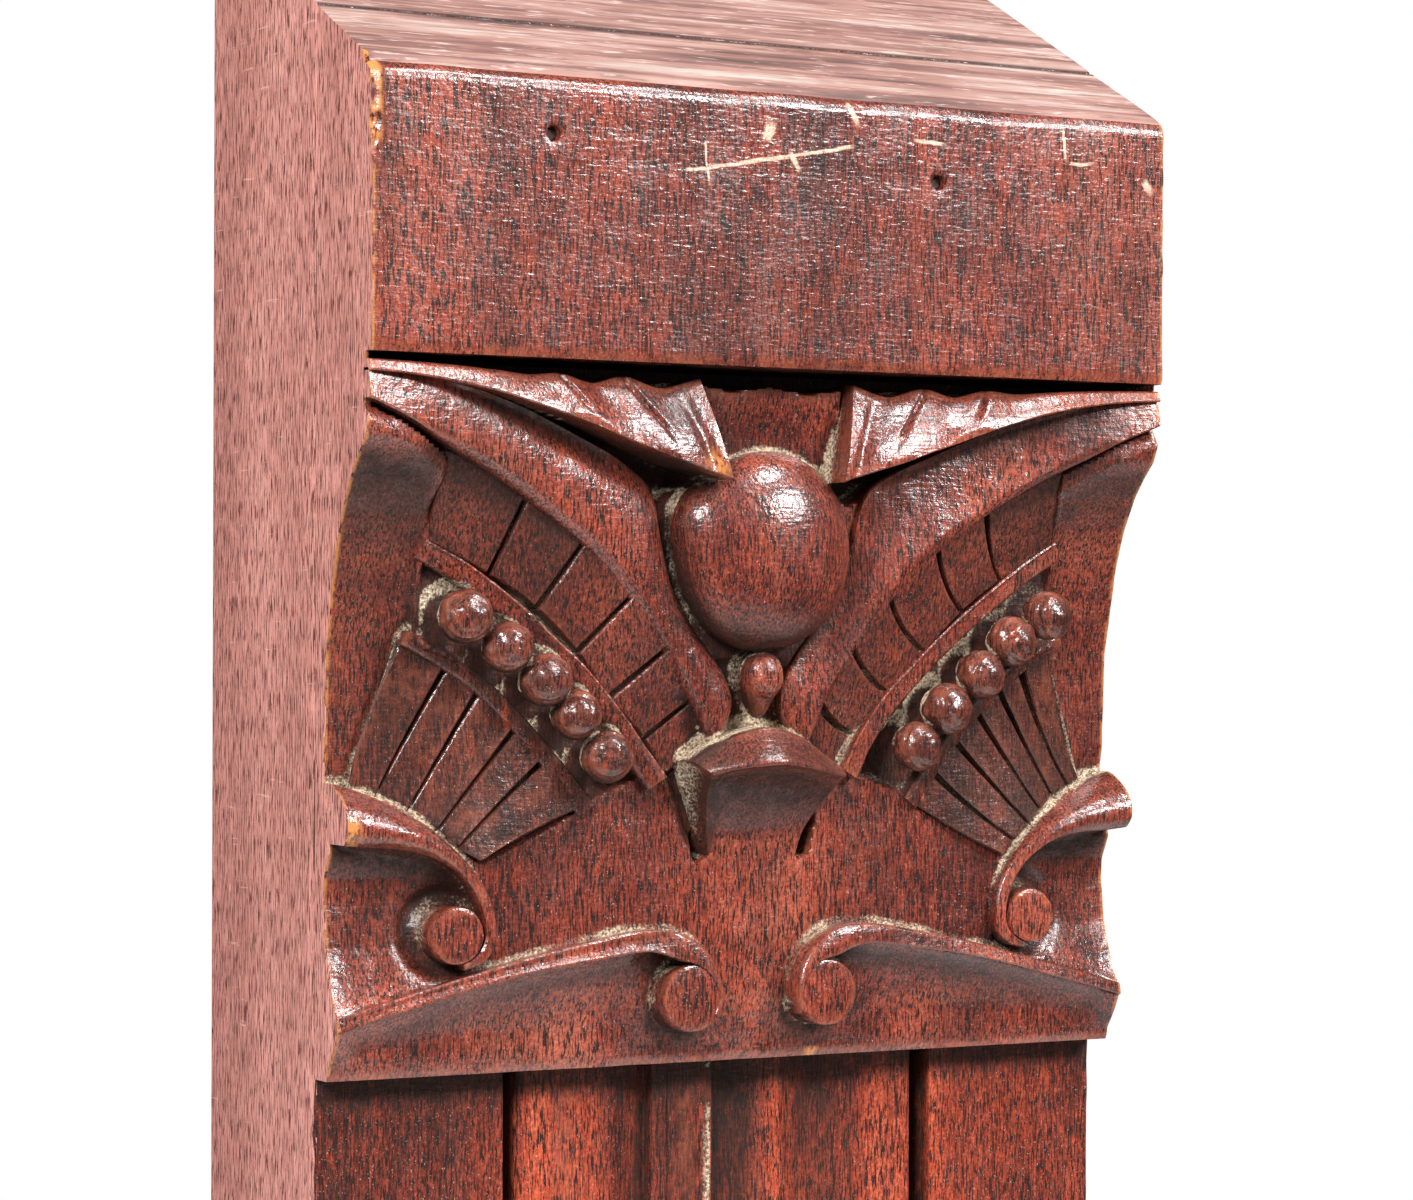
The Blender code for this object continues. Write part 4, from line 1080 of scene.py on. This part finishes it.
def varnished(name, tones, purple=0.0, gloss=0.12, scratches=()):
    """Old varnished mahogany: grain, pores, worn edges, grime, painted shade and dust.

    purple adds dark stain, and gloss is the roughness of the shiniest varnish.
    """
    shade = Shade(name)
    noise, step, blend = shade.noise, shade.step, shade.blend
    plus, less, times = shade.plus, shade.less, shade.times
    broad = noise((34, 90, 7), 3.0, 0.55)
    layers = noise((24, 620, 8), 2.0, 0.5, 3.0)
    fibre = noise((1900, 1900, 190), 4.0, 0.7, 7.0)
    tone = plus(plus(times(broad, 0.34), times(fibre, 0.42)), times(layers, 0.26))
    colour = shade.colours(tone, tones)
    # red flecks, dark stain, grit, pores and pale specks
    fleck = step(noise((260, 260, 60), 4.0, 0.65, 13.0), 0.56, 0.70)
    colour = blend(times(fleck, 0.40), colour, FLECK_COLOUR)
    stain = step(noise((50, 50, 15), 6.0, 0.66, 19.0), 0.44, 0.68)
    colour = blend(times(stain, 0.50 + purple), colour, STAIN_COLOUR)
    grit = step(noise((1500, 1500, 1100), 3.0, 0.7, 47.0), 0.32, 0.68, 0.55, 1.35)
    colour = blend(1.0, colour, grit, "MULTIPLY")
    pores = step(noise((2300, 2300, 260), 3.0, 0.6, 23.0), 0.42, 0.48, 1.0, 0.0)
    colour = blend(times(pores, 0.95), colour, PORE_COLOUR)
    specks = step(noise((2900, 2900, 2500), 2.0, 0.5, 29.0), 0.68, 0.73)
    colour = blend(times(specks, 0.6), colour, SPECK_COLOUR)

    # wear, grime and painted shade, dust, chips and scratches
    ragged = noise((330, 330, 240), 4.0, 0.65, 31.0)
    wear = times(shade.attribute("wear"), step(ragged, 0.36, 0.62))
    colour = blend(times(wear, 0.45), colour, WORN_COLOUR)
    # the grime value brings painted shade in hollows and under overhangs as well as grime
    grime_and_shade = times(shade.attribute("grime_and_shade"), step(ragged, 0.15, 0.62, 0.55, 1))
    colour = blend(times(grime_and_shade, 0.88), colour, GRIME_AND_SHADE_COLOUR)
    powder = noise((1500, 1500, 1500), 3.0, 0.65, 37.0)
    settled = shade.attribute("dust")
    dust = step(plus(settled, times(less(powder, 0.5), 1.5)), 0.10, 0.95)
    dust = times(dust, step(settled, 0.04, 0.40))
    cream = blend(step(powder, 0.36, 0.62), DUST_SHADE_COLOUR, DUST_COLOUR)
    colour = blend(times(dust, 0.90), colour, cream)
    chip = times(shade.attribute("chip"), step(ragged, 0.40, 0.52))
    colour = blend(chip, colour, CHIP_COLOUR)
    for start, stop, width in scratches:
        line = times(scratch(shade, start, stop, width), step(powder, 0.30, 0.48))
        colour = blend(times(line, 0.92), colour, SCRATCH_COLOUR)
    shade.give("Base Color", colour)

    # satin wood under a glossier coat, which grime, painted shade and dust cover
    rough = plus(plus(times(pores, 0.1), 0.40), times(grime_and_shade, 0.12))
    shade.give("Roughness", plus(rough, times(dust, 0.5), clamp=True))
    shade.give("Specular IOR Level", 0.20)
    coat = less(less(0.85, times(grime_and_shade, 0.75)), times(dust, 0.7), clamp=True)
    shade.give("Coat Weight", coat)
    dull = noise((140, 140, 60), 4.0, 0.65, 41.0)
    shade.give("Coat Roughness", step(dull, 0.34, 0.70, gloss, gloss + 0.18))

    crackle = noise((900, 900, 700), 3.0, 0.6, 43.0)
    ripple = noise((260, 260, 1300), 2.0, 0.5, 53.0)
    normal = shade.bump(crackle, 0.00025, 0.7)
    normal = shade.bump(ripple, 0.0002, 0.7, normal)
    normal = shade.bump(less(1.0, pores), 0.00012, 0.7, normal)
    shade.give("Normal", shade.bump(times(powder, dust), 0.0006, 0.8, normal))
    film = shade.bump(noise((420, 420, 520), 2.0, 0.5, 59.0), 0.00018, 0.7)
    film = shade.bump(crackle, 0.00019, 0.7, film)
    shade.give("Coat Normal", shade.bump(ripple, 0.00013, 0.7, film))
    return shade.material


def bare(name):
    """Bare planed mahogany on the sides and back: matte, pinkish, dark fine pores."""
    shade = Shade(name)
    noise, step, times = shade.noise, shade.step, shade.times
    broad = noise((20, 30, 5), 3.0, 0.5, 2.0)
    fibre = noise((1500, 1500, 110), 4.0, 0.7, 5.0)
    tone = shade.plus(times(broad, 0.35), times(fibre, 0.65))
    colour = shade.colours(tone, ((0.37, (0.27, 0.105, 0.085)), (0.5, (0.45, 0.185, 0.152)),
                                  (0.62, (0.58, 0.275, 0.232))))
    pores = step(noise((2200, 2200, 190), 3.0, 0.6, 11.0), 0.42, 0.48, 1.0, 0.0)
    colour = shade.blend(times(pores, 0.95), colour, (0.08, 0.020, 0.016, 1.0))
    pale = step(noise((60, 60, 900), 3.0, 0.6, 17.0), 0.66, 0.72)
    colour = shade.blend(times(pale, 0.35), colour, (0.72, 0.47, 0.38, 1.0))
    dirt = step(noise((40, 60, 14), 4.0, 0.65, 19.0), 0.55, 0.75)
    colour = shade.blend(times(dirt, 0.30), colour, (0.24, 0.10, 0.08, 1.0))
    shade.give("Base Color", colour)
    shade.give("Roughness", step(fibre, 0.3, 0.7, 0.62, 0.78))
    shade.give("Specular IOR Level", 0.25)
    normal = shade.bump(shade.less(1.0, pores), 0.00012, 0.6)
    shade.give("Normal", shade.bump(fibre, 0.00010, 0.5, normal))
    return shade.material


def weathered(name):
    """The sawn sloping top: grey-pink, streaked across the width, with a dark glue line."""
    shade = Shade(name)
    noise, step, times = shade.noise, shade.step, shade.times
    streak = noise((9, 260, 260), 4.0, 0.6, 2.0)
    patch = noise((16, 60, 60), 4.0, 0.6, 9.0)
    tone = shade.plus(times(streak, 0.6), times(patch, 0.4))
    colour = shade.colours(tone, ((0.37, (0.065, 0.042, 0.038)), (0.46, (0.18, 0.086, 0.072)),
                                  (0.53, (0.28, 0.150, 0.122)), (0.64, (0.36, 0.30, 0.27))))
    dark = step(noise((60, 900, 900), 3.0, 0.6, 15.0), 0.56, 0.68)
    colour = shade.blend(times(dark, 0.6), colour, (0.07, 0.038, 0.032, 1.0))
    worn = step(noise((120, 900, 900), 3.0, 0.6, 21.0), 0.58, 0.70)
    colour = shade.blend(times(worn, 0.5), colour, (0.60, 0.46, 0.42, 1.0))
    apart = shade.node("ShaderNodeSeparateXYZ")
    shade.put(apart.inputs[0], shade.place)
    away = shade.math("ABSOLUTE", shade.less(apart.outputs["Y"], FACE_Y))
    seam = step(away, 0.0005, 0.0016, 1.0, 0.0)
    colour = shade.blend(times(seam, 0.9), colour, (0.03, 0.02, 0.018, 1.0))
    shade.give("Base Color", colour)
    shade.give("Roughness", step(patch, 0.3, 0.7, 0.5, 0.75))
    shade.give("Normal", shade.bump(streak, 0.0004, 0.7))
    return shade.material


def iron(name):
    """Dark corroded nail iron."""
    shade = Shade(name)
    rust = shade.noise((1400, 1400, 1400), 4.0, 0.65, 4.0)
    colour = shade.colours(rust, ((0.35, (0.012, 0.010, 0.010)), (0.55, (0.045, 0.024, 0.016)),
                                  (0.72, (0.20, 0.075, 0.028))))
    shade.give("Base Color", colour)
    shade.give("Roughness", shade.step(rust, 0.3, 0.7, 0.45, 0.85))
    shade.give("Metallic", 0.35)
    shade.give("Normal", shade.bump(rust, 0.0003, 0.7))
    return shade.material


# Grain colours from dark to light, by position on the ramp.
RED_TONES = ((0.41, (0.050, 0.008, 0.005)), (0.48, (0.146, 0.022, 0.012)),
             (0.54, (0.226, 0.040, 0.021)), (0.62, (0.296, 0.068, 0.038)))
DARK_TONES = ((0.41, (0.024, 0.006, 0.004)), (0.52, (0.100, 0.020, 0.011)),
              (0.63, (0.195, 0.046, 0.027)))
SHAFT_TONES = ((0.41, (0.052, 0.009, 0.005)), (0.48, (0.210, 0.029, 0.013)),
               (0.54, (0.320, 0.046, 0.020)), (0.62, (0.440, 0.088, 0.040)))
# Scratches in the cap: two (across, up) ends, and a width in millimetres.
CAP_SCRATCHES = (((-26, 194.4), (16, 202.4), 0.55), ((-21.5, 201), (-20.5, 192), 0.35),
                 ((-6, 202.4), (-5, 206.6), 1.7), ((0, 200), (2, 196), 0.8),
                 ((15, 212), (17, 207), 0.8), ((32, 204.9), (40, 204.4), 0.6),
                 ((72, 210), (72.4, 203), 0.5), ((74, 202.2), (80, 202.6), 0.5),
                 ((94.5, 199.4), (96.8, 197), 1.4))


# ---------------------------------------------------------------- objects

SHARP_ANGLE = 42.0           # degrees; a sharper edge is drawn as an arris


def faces_of(count, around):
    """Quads of a ring stack, without its caps."""
    ring, step = np.meshgrid(np.arange(count - 1), np.arange(around), indexing="ij")
    after = (step + 1) % around
    return np.stack([ring * around + step, ring * around + after,
                     (ring + 1) * around + after, (ring + 1) * around + step],
                    axis=-1).reshape(-1, 4)


def make_object(piece, materials, maps):
    """Build the mesh of a piece with its weathering and painted-shade attributes."""
    points, faces, start = [], [], 0
    for rings in piece.shells:
        count, around = rings.shape[:2]
        points.append(rings.reshape(-1, 3))
        faces += (faces_of(count, around) + start).tolist()
        faces.append(list(range(start, start + around))[::-1])
        last = start + (count - 1) * around
        faces.append(list(range(last, last + around)))
        start += count * around
    points = np.vstack(points)
    world = np.column_stack([points[:, 0] * MM, FACE_Y - points[:, 1] * MM,
                             BASE_Z + points[:, 2] * MM])
    mesh = bpy.data.meshes.new(piece.name)
    mesh.from_pydata(world.tolist(), [], faces)
    for material in materials:
        mesh.materials.append(material)
    work = bmesh.new()
    work.from_mesh(mesh)
    bmesh.ops.recalc_face_normals(work, faces=work.faces)
    work.to_mesh(mesh)
    work.free()
    mesh.shade_smooth()
    mesh.set_sharp_from_angle(angle=math.radians(SHARP_ANGLE))
    dusty = piece.name not in ("post_board", "moulded_strip")
    dust, grime_and_shade, wear = weathering_and_shade(maps, points, dusty)
    if piece.name == "keystone_hood":          # its side walls stay free of dust
        dust = dust * ramp(points[:, 2], 63.0, 66.0)
    # this adds painted shade in hollows as well as grime
    grime_and_shade = np.clip(grime_and_shade + soiling_and_shade(piece.name, points), 0, 1)
    chip = chipping(points)
    for name, values in (("dust", dust), ("grime_and_shade", grime_and_shade), ("wear", wear), ("chip", chip)):
        layer = mesh.attributes.new(name, "FLOAT", "POINT")
        layer.data.foreach_set("value", np.asarray(values, np.float32))
    item = bpy.data.objects.new(piece.name, mesh)
    bpy.context.scene.collection.objects.link(item)
    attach(item, "root")
    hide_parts(*piece.nodes)
    return item


def is_end(x, up, normal):
    """The flat sides of the block and the post, which were never varnished."""
    return (np.abs(normal[:, 0]) > 0.9) & (np.abs(x) > HALF - 1.5)


def is_back(x, up, normal):
    """The back of the post."""
    return normal[:, 1] > 0.9


def is_sloped_top(x, up, normal):
    """The sawn slope."""
    return (normal[:, 2] > 0.3) & (up > CAP_TOP - 0.2)


def paint_faces(item, rules):
    """Give each rule's material slot to the faces that it picks."""
    mesh = item.data
    count = len(mesh.polygons)
    centre, normal = np.zeros(count * 3), np.zeros(count * 3)
    mesh.polygons.foreach_get("center", centre)
    mesh.polygons.foreach_get("normal", normal)
    centre, normal = centre.reshape(-1, 3), normal.reshape(-1, 3)
    x, up = centre[:, 0] / MM, (centre[:, 2] - BASE_Z) / MM
    chosen = np.zeros(count, np.int32)
    for slot, rule in rules:
        chosen[rule(x, up, normal)] = slot
    mesh.polygons.foreach_set("material_index", chosen)


# ---------------------------------------------------------------- camera and stage

CAMERA_PLACE = (-0.4353, -0.7795, 0.2814)
CAMERA_HEADING = -29.38      # degrees to the right of straight ahead
CAMERA_ROLL = 0.17
CAMERA_LENS = 99.73          # millimetres on a 36 mm sensor
GLOW = 0.41                  # strength of the white world in diffuse light
GLOSSY_GLOW = 0.08           # and in reflections, so that the varnish stays dark
AIM = (0.0, 0.0, 0.30)
SOFT_BOXES = (("key_left", (-1.00, -0.85, 0.95), (0.45, 0.35), 28.0),
              ("key_right", (0.72, -1.05, 0.98), (0.4, 0.3), 23.0),
              ("top", (0.45, -0.62, 1.45), (0.35, 0.25), 15.0),
              ("side_left", (-1.5, 0.2, 0.7), (1.0, 1.2), 6.0))


def add_camera():
    """The camera stands on the left and looks level, to the right."""
    data = bpy.data.cameras.new("camera")
    data.sensor_width = 36.0
    data.lens = CAMERA_LENS
    data.shift_y = 0.0352
    data.clip_start, data.clip_end = 0.05, 50.0
    camera = bpy.data.objects.new("camera", data)
    turn = (Matrix.Rotation(math.radians(CAMERA_HEADING), 4, "Z")
            @ Matrix.Rotation(math.pi / 2, 4, "X")
            @ Matrix.Rotation(math.radians(CAMERA_ROLL), 4, "Z"))
    camera.matrix_world = Matrix.Translation(CAMERA_PLACE) @ turn
    bpy.context.scene.collection.objects.link(camera)
    bpy.context.scene.camera = camera


def add_soft_box(name, place, size, power):
    """An area light that faces the carving."""
    data = bpy.data.lights.new(name, "AREA")
    data.shape = "RECTANGLE"
    data.size, data.size_y = size
    data.energy = power
    light = bpy.data.objects.new(name, data)
    turn = (Vector(AIM) - Vector(place)).to_track_quat("-Z", "Y").to_matrix().to_4x4()
    light.matrix_world = Matrix.Translation(place) @ turn
    bpy.context.scene.collection.objects.link(light)


def add_world():
    """White to the camera, and a soft glow that is weaker in reflections."""
    world = bpy.data.worlds.new("studio")
    bpy.context.scene.world = world
    world.use_nodes = True
    tree = world.node_tree
    tree.nodes.clear()
    out = tree.nodes.new("ShaderNodeOutputWorld")
    seen = tree.nodes.new("ShaderNodeBackground")
    seen.inputs["Color"].default_value = (1.0, 1.0, 1.0, 1.0)
    seen.inputs["Strength"].default_value = 1.0
    glow = tree.nodes.new("ShaderNodeBackground")
    glow.inputs["Color"].default_value = (0.97, 0.98, 1.0, 1.0)
    path = tree.nodes.new("ShaderNodeLightPath")
    soft = tree.nodes.new("ShaderNodeMapRange")
    tree.links.new(path.outputs["Is Glossy Ray"], soft.inputs["Value"])
    soft.inputs["To Min"].default_value = GLOW
    soft.inputs["To Max"].default_value = GLOSSY_GLOW
    tree.links.new(soft.outputs["Result"], glow.inputs["Strength"])
    pick = tree.nodes.new("ShaderNodeMixShader")
    tree.links.new(path.outputs["Is Camera Ray"], pick.inputs["Fac"])
    tree.links.new(glow.outputs[0], pick.inputs[1])
    tree.links.new(seen.outputs[0], pick.inputs[2])
    tree.links.new(pick.outputs[0], out.inputs["Surface"])


def add_floor():
    """A pale round floor that fades to nothing towards its rim."""
    bpy.ops.mesh.primitive_circle_add(vertices=128, radius=0.6, fill_type="NGON")
    floor = bpy.context.active_object
    floor.name = "floor"
    shade = Shade("pale_floor")
    length = shade.node("ShaderNodeVectorMath", operation="LENGTH")
    shade.put(length.inputs[0], shade.place)
    rim = shade.step(length.outputs["Value"], 0.12, 0.55)
    shade.give("Base Color", (0.80, 0.80, 0.79, 1.0))
    shade.give("Roughness", 0.9)
    shade.give("Specular IOR Level", 0.0)
    clear = shade.node("ShaderNodeBsdfTransparent")
    mix = shade.node("ShaderNodeMixShader")
    shade.put(mix.inputs["Fac"], rim)
    shade.put(mix.inputs[1], shade.shader.outputs[0])
    shade.put(mix.inputs[2], clear.outputs[0])
    shade.put(shade.tree.nodes["Material Output"].inputs["Surface"], mix.outputs[0])
    floor.data.materials.append(shade.material)


def add_stage():
    """World, floor, four soft boxes and the view transform."""
    add_world()
    add_floor()
    for name, place, size, power in SOFT_BOXES:
        add_soft_box(name, place, size, power)
    bpy.context.scene.view_settings.view_transform = "Standard"


def main():
    """Build every piece, weather it, paint shade into its hollows, and give it its materials."""
    build_everything()
    height = relief_map()
    maps = (height, blurred(height, 1.3), blurred(height, 4.0))
    red = varnished("varnished_mahogany", RED_TONES)
    dark = varnished("dark_varnish", DARK_TONES, purple=0.12, gloss=0.10)
    capital = varnished("capital_varnish", RED_TONES, scratches=CAP_SCRATCHES)
    shaft = varnished("shaft_varnish", SHAFT_TONES)
    side_wood = bare("bare_mahogany")
    top_wood = weathered("weathered_top")
    several = {"capital_carving": [capital, side_wood, top_wood],
               "post_board": [shaft, side_wood, top_wood],
               "moulded_strip": [shaft, side_wood]}
    for piece in PIECES:
        front = dark if piece.slot == "dark_varnish" else red
        materials = several.get(piece.name, [front, side_wood])
        rules = [(1, is_end)]
        if top_wood in materials:
            rules += [(1, is_back), (2, is_sloped_top)]
        paint_faces(make_object(piece, materials, maps), rules)
    nail_iron = iron("nail_iron")
    for name in ("cap_nail_left", "cap_nail_right", "groove_nail"):
        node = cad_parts[name]
        for slot in node.material_slots:
            slot.material = nail_iron
        if not node.material_slots:
            node.data.materials.append(nail_iron)


main()
add_camera()
add_stage()
